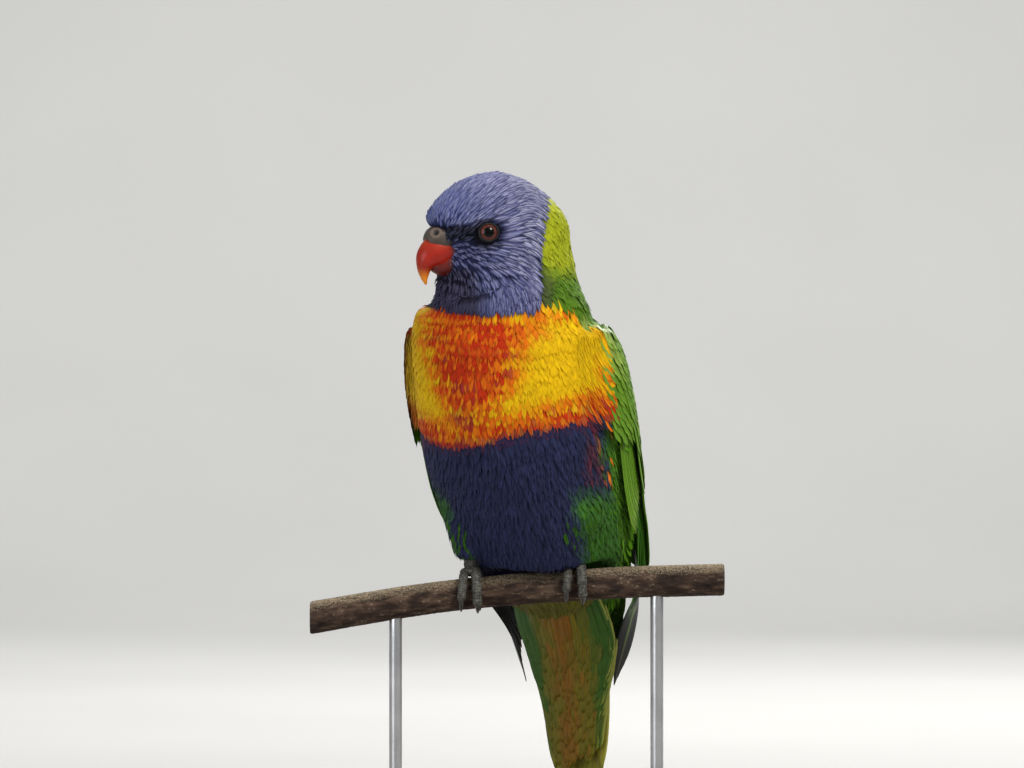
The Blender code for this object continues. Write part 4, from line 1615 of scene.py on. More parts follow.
class ShoulderTract(Tract):
    """The longer feathers that fall from the neck and the shoulders over the wings' upper ends."""

    def roots(self, comb: Comb, rng: Rng) -> tuple[Array, Array]:
        """Places for the roots, fewer of them on the breast's right side.

        Args:
            comb: Knows the trunk and the skin.
            rng: The source of the small shifts.

        Returns:
            The roots, (N, 3), and their places on the map, (N, 2).
        """
        points, spots = super().roots(comb, rng)
        at = Spots(points)
        chosen = (at.z < 230 + 2 * smooth(90, 120, at.wide)) & ((at.turn > 0) | (at.wide > 104))
        return points[chosen], spots[chosen]

    def fluff(self, at: Spots) -> Array:
        """How much further than the rise each tip stands off."""
        across = smooth(76, 92, at.wide) * (1 - 0.6 * smooth(140, 170, at.wide))
        return 3.2 * across * smooth(229, 219, at.z)

    def marks(self, base: Array, at: Spots, rng: Rng) -> Marks:
        """Darker shafts, with pale feathers towards the breast, partly a painted highlight.

        Args:
            base: The main colours, (N, 3).
            at: Where the feathers show.
            rng: The source of the unevenness.

        Returns:
            The markings.
        """
        # Pale shoulder colour towards the breast: yellow-green, lightened as a painted highlight.
        front = smooth(106, 92, at.wide) * smooth(204, 210, at.z)
        colour = mix(Plumage.green, Plumage.nape, rng.random(len(base)))
        colour = mix(colour, Plumage.shoulder, front * rng.uniform(0.4, 0.9, len(base)))
        colour = mix(colour, Plumage.orange, 0.9 * (rng.random(len(base)) < 0.10) * front)
        return super().marks(colour, at, rng)


@dataclass
class ThighTract(BellyTract):
    """The green feathers of one thigh."""

    side: Side = Side.LEFT

    def roots(self, comb: Comb, rng: Rng) -> tuple[Array, Array]:
        """Places for the roots and their places on the bake map.

        Args:
            comb: Knows the skin and the trunk's surface.
            rng: The source of the small shifts.

        Returns:
            The roots, (N, 3), and their places on the map, (N, 2).
        """
        rows, turns = rings_of(np.arange(0.6, 3.9, 0.2), 30)
        rows = rows + rng.normal(0, 0.05, len(rows))
        turns = turns + rng.normal(0, 0.06, len(turns)) + 0.1 * np.floor(rows / 0.2)
        points = Thigh(self.side).at(rows, turns)
        hull, out, _ = comb.hull.drop(points)
        near = (comb.skin.drop(points)[2] < 1.8) & (np.sum((points - hull) * out, axis=1) > -0.6)
        chart = 0.95 if self.side is Side.LEFT else 0.9
        spots = np.stack([turns / 40 + 0.02, rows / 40 + chart], axis=1)
        return points[near], spots[near]

    def marks(self, base: Array, at: Spots, rng: Rng) -> Marks:
        """Green, and violet at the inner side.

        Args:
            base: The main colours, (N, 3).
            at: Where the feathers show.
            rng: The source of the unevenness.

        Returns:
            The markings.
        """
        inner = smooth(17.5, 15.0, np.abs(at.side) + 0.8 * drift(at.points, (0.2, 0.2, 0.2), 14))
        colour = mix(Plumage.flank, Plumage.green, 0.3 * rng.random(len(base)))
        colour = mix(colour * 0.85, Plumage.belly, inner)
        return Marks(colour, colour * 0.5, 0.4, 0.16, colour * 1.1, 0.5, 0.75, 0.6, 0.12)


class WingBed:
    """The surface that a folded wing lies on, as distances from an upright axis."""

    heights: Row = (70, 84, 100, 115, 130, 145, 160, 185, 202, 214, 230)
    axis: Row = (-47, -46, -43, -38, -29, -21, -13, -2, 6, 10, 12)
    flank: Row = (15.5, 18.2, 23.6, 29.5, 34.6, 37.2, 38.2, 0, 0, 0, 0)
    back: Row = (9, 11, 14, 17.5, 21.5, 25, 28, 0, 0, 0, 0)
    gap: float = 0.9
    row_step: float = 2.0
    turn_step: float = 2.5

    def __init__(self, trunk: Surface, side: Side) -> None:
        """Measures the bed on one side of the trunk.

        Args:
            trunk: The trunk's surface.
            side: Which side of the bird it is on.
        """
        self.side = side
        self.rows = np.arange(66.0, 236.0, self.row_step)
        self.turns = np.arange(40.0, 200.0, self.turn_step)
        table = [[self.measure(trunk, z, turn) for turn in self.turns] for z in self.rows]
        self.table = np.array(table)

    def way(self, turn: Array) -> Array:
        """The level directions out of the axis.

        Args:
            turn: Turns in degrees from the front.

        Returns:
            The directions, one for each.
        """
        facing, left = headings(BODY.yaw)
        angle = np.radians(np.asarray(turn)) * self.side.value
        return np.cos(angle)[..., None] * facing + np.sin(angle)[..., None] * left

    def measure(self, trunk: Surface, z: float, turn: float) -> float:
        """How far the bed is from the axis at one place.

        Args:
            trunk: The trunk's surface.
            z: The height.
            turn: The turn in degrees from the front.

        Returns:
            The distance.
        """
        rows = (self.axis, self.flank, self.back)
        axis, flank, back = (np.interp(z, self.heights, row) for row in rows)
        reach = trunk.reach(BODY.point(axis, 0.0, z), self.way(turn))
        angle = math.radians(turn)
        free = 1 / math.hypot(math.sin(angle) / flank, math.cos(angle) / back) if flank > 0 else 0.0
        return max(reach + self.gap if reach else 0.0, free)

    def at(self, z: Array, turn: Array, lift: Array) -> Array:
        """Points lifted off the bed.

        Args:
            z: Their heights.
            turn: Their turns in degrees from the front.
            lift: How far they are off the bed.

        Returns:
            The points, one for each.
        """
        z, turn, lift = np.broadcast_arrays(*(np.asarray(v, float) for v in (z, turn, lift)))
        row = np.clip((z - self.rows[0]) / self.row_step, 0, len(self.rows) - 1.001)
        column = np.clip((turn - self.turns[0]) / self.turn_step, 0, len(self.turns) - 1.001)
        i, j = row.astype(int), column.astype(int)
        u, v = row - i, column - j
        low = self.table[i, j] * (1 - v) + self.table[i, j + 1] * v
        high = self.table[i + 1, j] * (1 - v) + self.table[i + 1, j + 1] * v
        radius = low * (1 - u) + high * u + lift
        centre = BODY.point(np.interp(z, self.heights, self.axis), 0.0, z)
        return centre + self.way(turn) * radius[..., None]

    def out(self, z: Array, turn: Array) -> Array:
        """The directions out of the bed.

        Args:
            z: The places' heights.
            turn: Their turns in degrees from the front.

        Returns:
            The directions, one for each.
        """
        near = 3.0
        across = self.at(z, turn + near, 0.0) - self.at(z, turn - near, 0.0)
        down = self.at(z - near, turn, 0.0) - self.at(z + near, turn, 0.0)
        return unit(np.cross(down, across)) * self.side.value


@dataclass
class Tier:
    """One tier of wing feathers, from its first to its last.

    Args:
        roots: The first and the last root, each a height and a turn.
        tips: The first and the last tip.
        count: How many feathers there are.
        lifts: How far roots and tips are off the bed.
        width: How wide the feathers are.
        outline: Their outline.
        tilt: How far they are rolled, as a slope.
        steps: How many places along each.
        colour: Their main colour.
        tip_colour: The colour at the tip.
        tip_share: How strongly the tip shows.
        shaft: The colour of the shaft.
        shaft_share: How strongly the shaft shows.
        lift_step: How much further roots and tips are off the bed from one feather to the next.
        thickness: How thick the vanes are.
        across: Places across a feather.
        bow: How far the feathers bow, in degrees.
        twist: How much further they are rolled towards the tip.
        jitter: How loosely they lie.
    """

    roots: tuple[Pair, Pair]
    tips: tuple[Pair, Pair]
    count: int
    lifts: Pair
    width: float
    outline: Outline
    tilt: float = 0.2
    steps: int = 10
    colour: RGB = (0.090, 0.215, 0.006)
    tip_colour: RGB = (0.15, 0.29, 0.010)
    tip_share: float = 0.4
    shaft: RGB = (0.012, 0.05, 0.002)
    shaft_share: float = 0.75
    lift_step: Pair = (0.0, 0.0)
    thickness: float = 0.16
    across: Row = (-1, -0.75, -0.45, -0.2, -0.07, 0, 0.07, 0.2, 0.45, 0.75, 1)
    bow: float = 0.0
    twist: float = 0.0
    jitter: float = 0.5

    def batch(self, bed: WingBed, rng: Rng, spot: float) -> Batch:
        """The tier's feathers on one wing.

        Args:
            bed: The bed of the wing.
            rng: The source of the unevenness.
            spot: The tier's place on the bake map.

        Returns:
            The feathers.
        """
        share = np.linspace(0, 1, self.count)[:, None]
        loose = rng.normal(0, self.jitter, (self.count, 2)) * (0.4, 0.5)
        root, tip = (
            np.array(ends[0]) * (1 - share) + np.array(ends[1]) * share + part * loose
            for ends, part in ((self.roots, 0.5), (self.tips, 1.0))
        )
        along = np.linspace(0, 1, self.steps) ** 0.9
        path = root[:, None] + (tip - root)[:, None] * along[None, :, None]
        path[..., 1] += self.bow * np.sin(math.pi * along)
        numbers = share * (self.count - 1)
        low = self.lifts[0] + self.lift_step[0] * numbers
        lift = low + (self.lifts[1] + self.lift_step[1] * numbers - low) * along[None]
        spines = bed.at(path[..., 0], path[..., 1], lift)
        normals = bed.out(path[..., 0], path[..., 1])
        across = np.array(self.across)
        base = np.array(self.colour) * rng.normal(1, 0.07, (self.count, 1))
        marks = Marks(
            base, self.shaft, self.shaft_share, 0.10, self.tip_colour, self.tip_share, 0.75, 0.7,
            0.07,
        )
        colours = self.dress(marks.paint(along, across, rng), along, across * bed.side.value)
        spots = np.stack([0.02 + share[:, 0] * 0.9, np.full(self.count, spot)], axis=1)
        widths = self.width * rng.normal(1, 0.03, self.count)
        tilts = (self.tilt + self.twist * smooth(0.4, 0.85, along))[None] * bed.side.value
        return Batch(
            self.outline, across, along, spines, normals, widths, spots, colours, tilts,
            0.10, 0.12, 0.05, 0.004, self.thickness,
        )

    def dress(self, colours: Array, along: Array, outer: Array) -> Array:
        """Adds brighter rims; outer runs from -1 at a feather's inner edge to 1 at its outer."""
        rim = smooth(0.78, 1.0, np.abs(outer)) * np.ones((1, len(along), 1))
        return mix(colours, (0.15, 0.32, 0.008), 0.35 * rim)


@dataclass
class PrimaryTier(Tier):
    """The long flight feathers: green outer vanes, and blackish inner vanes and tips."""

    black: RGB = (0.008, 0.009, 0.008)

    def dress(self, colours: Array, along: Array, outer: Array) -> Array:
        """Darkens the inner vanes and the tips, but for the shafts.

        Args:
            colours: The colours, (N, K, M, 3).
            along: Places along a feather, (K,).
            outer: Places across it, from the inner edge at -1 to the outer at 1, (M,).

        Returns:
            The new colours.
        """
        dark = np.maximum(smooth(0.1, -0.25, outer), smooth(0.35, 0.65, along)[:, None])
        shaft = np.exp(-((outer / 0.08) ** 2))
        return mix(colours, self.black, (dark * (1 - 0.85 * shaft))[None])


@dataclass
class Wing:
    """A folded wing: its feathered arm with coverts, secondaries and primaries in tiers."""

    side: Side
    heights: Row = (130, 138, 149, 160, 171, 182, 193, 203, 212, 220, 226)
    lead: Row = (98, 97, 95, 92, 89, 87, 86, 87, 89, 94, 104)
    trail: Row = (118, 130, 144, 155, 163, 167, 168, 165, 157, 146, 128)
    lift: Row = (1.6, 2.4, 2.6, 2.9, 3.1, 3.1, 2.9, 2.5, 2.2, 1.7, 0.9)

    def tiers(self) -> list[Tier]:
        """The wing's tiers of large feathers.

        Returns:
            The tiers, from the lowest layer to the highest.
        """
        black, pale = (0.010, 0.011, 0.009), (0.30, 0.22, 0.13)
        covert = Outline.COVERT
        return [
            PrimaryTier(
                ((152, 101), (165, 118)), ((82, 92), (107, 120)), 10, (1.5, 1.2), 12.5,
                Outline.FLIGHT, 0.03, 16, (0.05, 0.20, 0.005), black, 0.9, pale, 0.35,
                (0.14, 0.55), 0.22, bow=1.0, twist=-0.7,
            ),
            Tier(
                ((176, 103), (192, 160)), ((126, 106), (146, 171)), 12, (2.9, 4.7), 9.6,
                covert, 0.2, 13, (0.082, 0.195, 0.005), thickness=0.2,
            ),
            Tier(((186, 98), (203, 158)), ((158, 99), (174, 168)), 12, (2.9, 4.9), 8.2, covert),
            Tier(((178, 84), (192, 94)), ((142, 86), (160, 99)), 9, (0.6, 3.0), 7.4, covert, 0.12),
            Tier(
                ((196, 96), (209, 153)), ((172, 96), (187, 163)), 12, (2.6, 4.6), 7.8,
                covert, 0.18,
            ),
            Tier(
                ((206, 95), (217, 148)), ((185, 94), (198, 158)), 12, (2.2, 4.2), 7.0,
                covert, 0.16, 9,
            ),
        ]

    def edges(self, z: Array) -> tuple[Array, ...]:
        """The turns of the arm's front and rear edges at heights, and how far it stands out."""
        return tuple(np.interp(z, self.heights, row) for row in (self.lead, self.trail, self.lift))

    def pad(self, bed: WingBed) -> Shell:
        """The feathered arm as a low closed pad.

        Args:
            bed: The bed of the wing.

        Returns:
            The points and the faces.
        """
        rows, columns = 34, 22
        z, s = np.linspace(130, 221, rows), np.linspace(-1, 1, columns)
        lead, trail, lift = self.edges(z)
        turns = lead[:, None] + (trail - lead)[:, None] * (s + 1) / 2
        heights = np.repeat(z[:, None], columns, axis=1)
        outer = bed.at(heights, turns, 0.3 + 0.8 * lift[:, None] * (1 - 0.8 * s**4))
        inner = bed.at(heights, turns[:, ::-1], np.full_like(turns, 0.05))
        ring = np.concatenate([outer, inner], axis=1)
        if self.side is Side.RIGHT:
            ring = ring[:, ::-1]
        return ring.reshape(-1, 3), grid_faces(rows, 2 * columns)

    def small(self, bed: WingBed, rng: Rng) -> list[Batch]:
        """The small coverts over the arm, in close rows.

        Args:
            bed: The bed of the wing.
            rng: The source of the unevenness.

        Returns:
            The rows, from the lowest up.
        """
        made = []
        along, across = np.linspace(0, 1, 7), np.array((-1, -0.6, -0.2, 0, 0.2, 0.6, 1))
        gap = 4.2
        for number, z in enumerate(np.arange(188.0, 224.0, 2.6)):
            lead, trail, lift = self.edges(z - 2)
            lead, trail = lead - 8, trail + 2
            count = int((trail - lead) / gap)
            turn = np.linspace(lead, trail, count) + (number % 2) * gap / 2
            turn = turn + rng.normal(0, 0.5, count)
            slope = (turn - lead) / (trail - lead)
            root = z + 7.0 * slope * smooth(230, 200, z) + rng.normal(0, 0.5, count)
            turn, slope, root = (row[root < 225] for row in (turn, slope, root))
            count = len(turn)
            tall = root[:, None] - (7.0 + 5.0 * smooth(226, 195, z)) * along[None]
            wide = turn[:, None] + 2.0 * slope[:, None] * along[None]
            base = 0.6 + 0.9 * lift * (1 - 0.8 * (2 * slope - 1) ** 4)
            colour = mix((0.082, 0.20, 0.005), (0.125, 0.26, 0.008), rng.random(count))
            # Pale shoulder colour at the arm's upper front edge: pale edging lightened as a painted
            # highlight.
            pale = 0.8 * smooth(0.3, 0.08, slope) * smooth(206, 218, root)
            colour = mix(colour, Plumage.shoulder, pale * rng.uniform(0.3, 1.0, count))
            tip = np.minimum(colour * 1.35, 1)
            marks = Marks(colour, colour * 0.35, 0.4, 0.14, tip, 0.5, 0.75, 0.6, 0.1)
            spots = np.stack([0.02 + slope * 0.9, np.full(count, 0.4 + number * 0.02)], axis=1)
            spines = bed.at(tall, wide, base[:, None] + 1.3 * along[None])
            made.append(Batch(
                Outline.COVERT, across, along, spines, bed.out(tall, wide), np.full(count, 5.4),
                spots, marks.paint(along, across, rng), 0.12 * bed.side.value, 0.16, 0.06, 0.1,
                0.02,
            ))
        return made

    def cuff(self, bed: WingBed, plumage: Plumage, rng: Rng) -> Batch:
        """The breast's feathers that lie over the wing's front edge.

        Args:
            bed: The bed of the wing.
            plumage: Gives the colours.
            rng: The source of the unevenness.

        Returns:
            The feathers.
        """
        rows, columns = np.arange(188.0, 223.0, 1.25), np.arange(-34.0, -8.5, 1.7)
        z, step = np.meshgrid(rows, columns, indexing="ij")
        step = step + 0.85 * (np.arange(len(rows)) % 2)[:, None]
        step = (step + rng.normal(0, 0.4, z.shape)).ravel()
        z = (z + rng.normal(0, 0.35, z.shape)).ravel()
        turn = self.edges(z)[0] + step
        along = np.linspace(0, 1, 6) ** 0.85
        over = smooth(-34, -6, step) * smooth(226, 220, z)
        lift = -3.3 + 5.1 * over[:, None] + (0.6 + 0.5 * over[:, None]) * along**1.2
        tall, wide = z[:, None] - 6.0 * along, turn[:, None] + 3.0 * along
        base = plumage.colour(Spots(bed.at(z - 4.0, np.minimum(turn, 90.0), -1.5)), rng)
        tip, across = mix(base, plumage.red, 0.12), np.array((-1, -0.4, 0.4, 1))
        marks = Marks(base, base * 0.8, 0.3, 0.3, tip, 0.5, 0.84, 0.75, 0.08)
        spots = np.stack([0.02 + (step + 36) / 36, 0.02 + (z - 186) / 42], axis=1)
        widths, tilts = rng.normal(2.0, 0.15, len(z)), rng.normal(0, 0.08, len(z))
        return Batch(
            Outline.SOFT, across, along, bed.at(tall, wide, lift), bed.out(tall, wide), widths,
            spots, marks.paint(along, across, rng), tilts, 0.12, 0.0, 0.06, 0.09,
        )

    def build(
        self, trunk: Surface, plumage: Plumage, finish: Material, soft: Material, rng: Rng
    ) -> None:
        """Makes the wing's pad and its feathers.

        Args:
            trunk: The trunk's surface.
            plumage: Gives the colours of the breast.
            finish: The wing feathers' material.
            soft: The body feathers' material.
            rng: The source of the unevenness.
        """
        bed, name = WingBed(trunk, self.side), f"wing_{self.side.word}"
        coat(f"{name}_cuff", soft, Slot.BREAST, [self.cuff(bed, plumage, rng)], rng)
        shell = self.pad(bed)
        # The arm under the feathers is dark green: painted shade where it shows between them.
        colours = (0.03, 0.12, 0.004) * rng.normal(1, 0.1, (len(shell[0]), 1))
        pad = place(f"{name}_arm", shell, finish, Slot.GREEN, colours)
        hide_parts(f"wing_{self.side.word}")
        tiers = enumerate(self.tiers(), 1)
        flight = [tier.batch(bed, rng, 0.05 * number) for number, tier in tiers]
        coat(f"{name}_feathers", finish, Slot.GREEN, flight, rng)
        coat(f"{name}_coverts", finish, Slot.GREEN, self.small(bed, rng), rng)


@dataclass
class Tail:
    """The hanging tail: a core, the long feathers, and the coverts over and under them.

    The core's rows are places along the tail, how far it reaches out to the front and the back
    there, and half its width. Those of the coverts are places, how far out they lie, and half
    the width of their row.
    """

    start: Pair = (-39.5, 109.0)
    pitch: float = 78.0
    lean: float = 2.8
    length: float = 94.0
    layer: float = 0.9
    core: Rows = (
        (8, 9.4, 7.8, 17), (17, 7.0, 6.2, 14.5), (28, 4.2, 4.6, 10.5), (40, 1.6, 3.4, 6.0),
    )
    under: Rows = (
        (-12, 17.5, 17.0), (-5, 13.0, 18.6), (2, 10.0, 17.8), (8, 8.2, 16.6),
        (15, 6.6, 14.8), (25, 5.0, 12.2), (40, 3.8, 9.4), (70, 3.2, 7.0),
    )
    over: Rows = (
        (-18, -10.4, 19.0), (-8, -10.4, 18.0), (-2, -10.0, 16.5), (4, -9.2, 14.5), (12, -7.6, 12.0),
        (22, -6.2, 9.5), (36, -5.4, 7.5), (60, -5.0, 5.5),
    )

    @property
    def across(self) -> Array:
        """Places across a tail feather."""
        return np.array((-1, -0.7, -0.35, -0.1, 0, 0.1, 0.35, 0.7, 1))

    def at(self, along: Array, side: Array, out: Array) -> Array:
        """Puts places on the tail into the frame of the solids.

        Args:
            along: How far down the tail they are.
            side: How far to its left.
            out: How far out towards the belly.

        Returns:
            The points.
        """
        slope = math.radians(self.pitch)
        side = side + self.lean * np.maximum(0.0, 1 - along / 60)
        forward = self.start[0] - along * math.cos(slope) + out * math.sin(slope)
        height = self.start[1] - along * math.sin(slope) - out * math.cos(slope)
        return BODY.point(forward, side, height)

    def batch(
        self, ends: tuple[Array, Array], steps: int, widths: Array, outline: Outline,
        tilts: Array, colours: Array, spot: float, thickness: float,
    ) -> Batch:
        """Straight feathers from their roots to their tips.

        Args:
            ends: The roots and the tips, along the tail, to its left and out, (N, 3).
            steps: How many places along each.
            widths: Their widths, (N,).
            outline: Their outline.
            tilts: How far each is rolled, (N,).
            colours: Their colours, (N, K, M, 3).
            spot: The row's place on the bake map.
            thickness: How thick the vanes are.

        Returns:
            The feathers.
        """
        along = np.linspace(0, 1, steps) ** 0.9
        paths = mix(ends[0][:, None], ends[1][:, None], along)
        spines = self.at(*np.moveaxis(paths, 2, 0))
        way = headings(BODY.yaw)[0] * np.sign(paths[:, :1, 2:] + 3.9)
        spots = np.stack([np.linspace(0.03, 0.97, len(paths)), np.full(len(paths), spot)], axis=1)
        return Batch(
            outline, self.across, along, spines, np.repeat(way, steps, axis=1), widths, spots,
            colours, tilts, 0.10, 0.14, 0.04, 0.006, thickness,
        )

    def build(self, trunk: Trunk, finish: Material, rng: Rng) -> None:
        """Makes the tail's core and its feathers.

        Args:
            trunk: The trunk, whose lower end the tail starts from.
            finish: The feathers' material.
            rng: The source of the unevenness.
        """
        sides = 40
        turns = np.linspace(0, 2 * math.pi, sides, endpoint=False)
        rings = [trunk.at(np.zeros(sides), turns, -1.2)]
        for along, front, back, half in self.core:
            out = np.where(np.cos(turns) > 0, front, back) * np.cos(turns) * 0.9
            rings.append(self.at(along, half * 0.93 * np.sin(turns), out))
        points = np.concatenate(rings[::-1])
        # The core is the tail's colour darkened: painted shade where it shows between the feathers.
        colours = (0.10, 0.14, 0.006) * rng.normal(0.6, 0.05, (len(points), 1))
        shell = points, grid_faces(len(rings), sides)
        core = place("tail_core", shell, finish, Slot.TAIL, colours)
        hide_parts("tail")
        coat("tail_feathers_long", finish, Slot.TAIL, [self.long_feathers(rng)], rng)
        coat("tail_coverts", finish, Slot.TAIL, self.coverts(rng), rng)

    def long_feathers(self, rng: Rng) -> Batch:
        """The twelve long feathers, shorter and lower from pair to pair.

        Args:
            rng: The source of the unevenness.

        Returns:
            The feathers.
        """
        step = np.repeat(np.arange(6) * 5 / 6, 2)
        side = np.tile((-1, 1), 6)
        fan = step * np.where(side > 0, 1.35, 1.0)
        out = self.layer * (step + np.where(side > 0, 0.5, 0.0)) - 3.4
        roots = np.stack([np.full(12, 10.0), side * (1.9 + 1.84 * fan), out * 0.4], axis=1)
        tips = np.stack([self.length - 7.5 * step, side * (1.6 + 1.75 * fan), out], axis=1)
        base = (0.15, 0.155, 0.008) * rng.normal(1, 0.06, (12, 1))
        shaft, tip, steps = (0.30, 0.20, 0.09), (0.26, 0.26, 0.010), 16
        marks = Marks(base, shaft, 0.8, 0.07, tip, 0.6, 0.85, 0.8, 0.06)
        colours = marks.paint(np.linspace(0, 1, steps) ** 0.9, self.across, rng)
        rim = smooth(-0.5, -0.95, self.across * side[:, None])[:, None]
        edge = np.where((side * step > 4)[:, None], (0.42, 0.40, 0.08), (0.035, 0.13, 0.008))
        colours = mix(colours, edge[:, None, None], rim * np.ones(colours.shape[:3]))
        widths, tilts = 9.6 - 0.4 * step, 0.02 * side
        return self.batch(
            (roots, tips), steps, widths, Outline.RECTRIX, tilts, colours, 0.1, 0.34
        )

    def coverts(self, rng: Rng) -> list[Batch]:
        """The coverts under and over the tail.

        Args:
            rng: The source of the unevenness.

        Returns:
            Their rows.
        """
        made = []
        for number, start in enumerate(np.arange(44.0, -10.0, -2.4)):
            share = self.shares(self.under, start, 1.1, number)
            wide = share * np.interp(start, (-5, 40), (1.1, 0.6))
            colours = self.under_colours(np.abs(wide), rng)
            spot = 0.4 + 0.02 * number
            made.append(self.row(self.under, start, share, colours, 3.6, spot, rng))
        for number, start in enumerate(np.arange(34.0, -15.0, -2.6)):
            share = self.shares(self.over, start, 1.3, number)
            colours = mix((0.07, 0.18, 0.005), (0.10, 0.235, 0.007), rng.random(len(share)))
            spot = 0.15 + 0.012 * number
            made.append(self.row(self.over, start, share, colours, 4.4, spot, rng))
        return made

    @staticmethod
    def shares(table: Rows, start: float, gap: float, number: int) -> Array:
        """Places across a row of coverts, with every other row shifted.

        Args:
            table: Places along the tail, and the rest of the row's table.
            start: Where along the tail the row starts.
            gap: How far apart the coverts are.
            number: The row's number.

        Returns:
            The places, from -1 to 1.
        """
        rows = np.array(table).T
        share = np.linspace(-1, 1, max(4, int(np.interp(start, rows[0], rows[2]) / gap)))
        return share + (number % 2) / len(share)

    @staticmethod
    def under_colours(wide: Array, rng: Rng) -> Array:
        """The main colours of the coverts under the tail.

        Args:
            wide: How far each is from the middle, up to about one.
            rng: The source of the unevenness.

        Returns:
            The colours, (N, 3).
        """
        loose = rng.normal(0, 0.12, len(wide))
        colour = mix((0.21, 0.088, 0.003), (0.15, 0.12, 0.004), smooth(0.05, 0.45, wide + loose))
        return mix(colour, (0.030, 0.095, 0.007), smooth(0.5, 0.85, wide + 0.5 * loose))

    def row(
        self, table: Rows, start: float, share: Array, base: Array, width: float, spot: float,
        rng: Rng,
    ) -> Batch:
        """One row of coverts over or under the tail.

        Args:
            table: Places along the tail, how far out coverts lie there, and half the row's width.
            start: Where along the tail the row starts.
            share: Places across the row, (N,).
            base: The main colours, (N, 3).
            width: How wide the feathers are.
            spot: The row's place on the bake map.
            rng: The source of the unevenness.

        Returns:
            The feathers.
        """
        places, outs, halves = np.array(table).T
        ends = []
        first = start + rng.normal(0, 1.4, len(share)) - 2.0 * np.abs(share)
        for at, proud in ((first, -0.3), (first + rng.uniform(14, 19, len(share)), 0.8)):
            out = np.interp(at, places, outs)
            out = (out + np.sign(out) * proud) * (1 - 0.22 * share**2)
            half = np.interp(at, places, halves)
            half = half * (1 + 0.24 * smooth(0, 0.6, share) * smooth(-4, 10, at))
            ends.append(np.stack([at, half * share, out], axis=1))
        tip, steps = mix(base, (0.05, 0.12, 0.008), 0.35), 8
        marks = Marks(base, base * 0.6, 0.5, 0.12, tip, 0.5, 0.8, 0.8, 0.08)
        colours = marks.paint(np.linspace(0, 1, steps) ** 0.9, self.across, rng)
        outermost = (share > 0.94) & (table is self.under)
        rim = smooth(-0.3, -0.95, self.across) * outermost[:, None]
        rim = 0.8 * rim[:, None] * np.ones(colours.shape[:3])
        colours = mix(colours, (0.36, 0.35, 0.06), rim)
        widths = width * rng.normal(1, 0.06, len(base))
        tilts = 0.12 * share + rng.normal(0, 0.06, len(base))
        return self.batch(ends, steps, widths, Outline.COVERT, tilts, colours, spot, 0.12)


def tube(path: Array, radii: Array, sides: int, squash: float = 1.0) -> Shell:
    """A closed tube along a path.

    Args:
        path: The middle line, (N, 3).
        radii: The radius at each point, (N,).
        sides: How many points a ring has.
        squash: The height of the section against its width.

    Returns:
        The points and the faces.
    """
    tangents = unit(np.gradient(path, axis=0))
    side = np.cross(tangents, np.cross((1.0, 0.0, 0.0), tangents))
    flat = np.linalg.norm(side, axis=1, keepdims=True) < 1e-6
    side = unit(np.where(flat, (0.0, 1.0, 0.0), side))
    up = unit(np.cross(tangents, side))
    turns = np.linspace(0, 2 * math.pi, sides, endpoint=False)
    across = (radii[:, None] * np.cos(turns))[..., None] * side[:, None]
    high = (radii[:, None] * squash * np.sin(turns))[..., None] * up[:, None]
    return (path[:, None] + across + high).reshape(-1, 3), grid_faces(len(path), sides)


def head_loft(rows: Rows, steps: int, sides: int) -> Shell:
    """A loft in the head's own plane.

    Args:
        rows: Places along the head, heights, half heights and half widths.
        steps: How many rings between two rows.
        sides: How many points a ring has.

    Returns:
        The points and the faces.
    """
    count = (len(rows) - 1) * steps + 1
    values = spline(rows, np.linspace(0, len(rows) - 1, count))
    slopes = unit(np.gradient(values[:, :2], axis=0))
    turns = np.linspace(0, 2 * math.pi, sides, endpoint=False)
    high = np.maximum(values[:, 2:3], 0.05) * np.cos(turns)
    wide = np.maximum(values[:, 3:4], 0.05) * np.sin(turns)
    forward = values[:, :1] + slopes[:, 1:] * high
    points = HEAD.point(forward, wide, values[:, 1:2] - slopes[:, :1] * high)
    return points.reshape(-1, 3), grid_faces(count, sides)


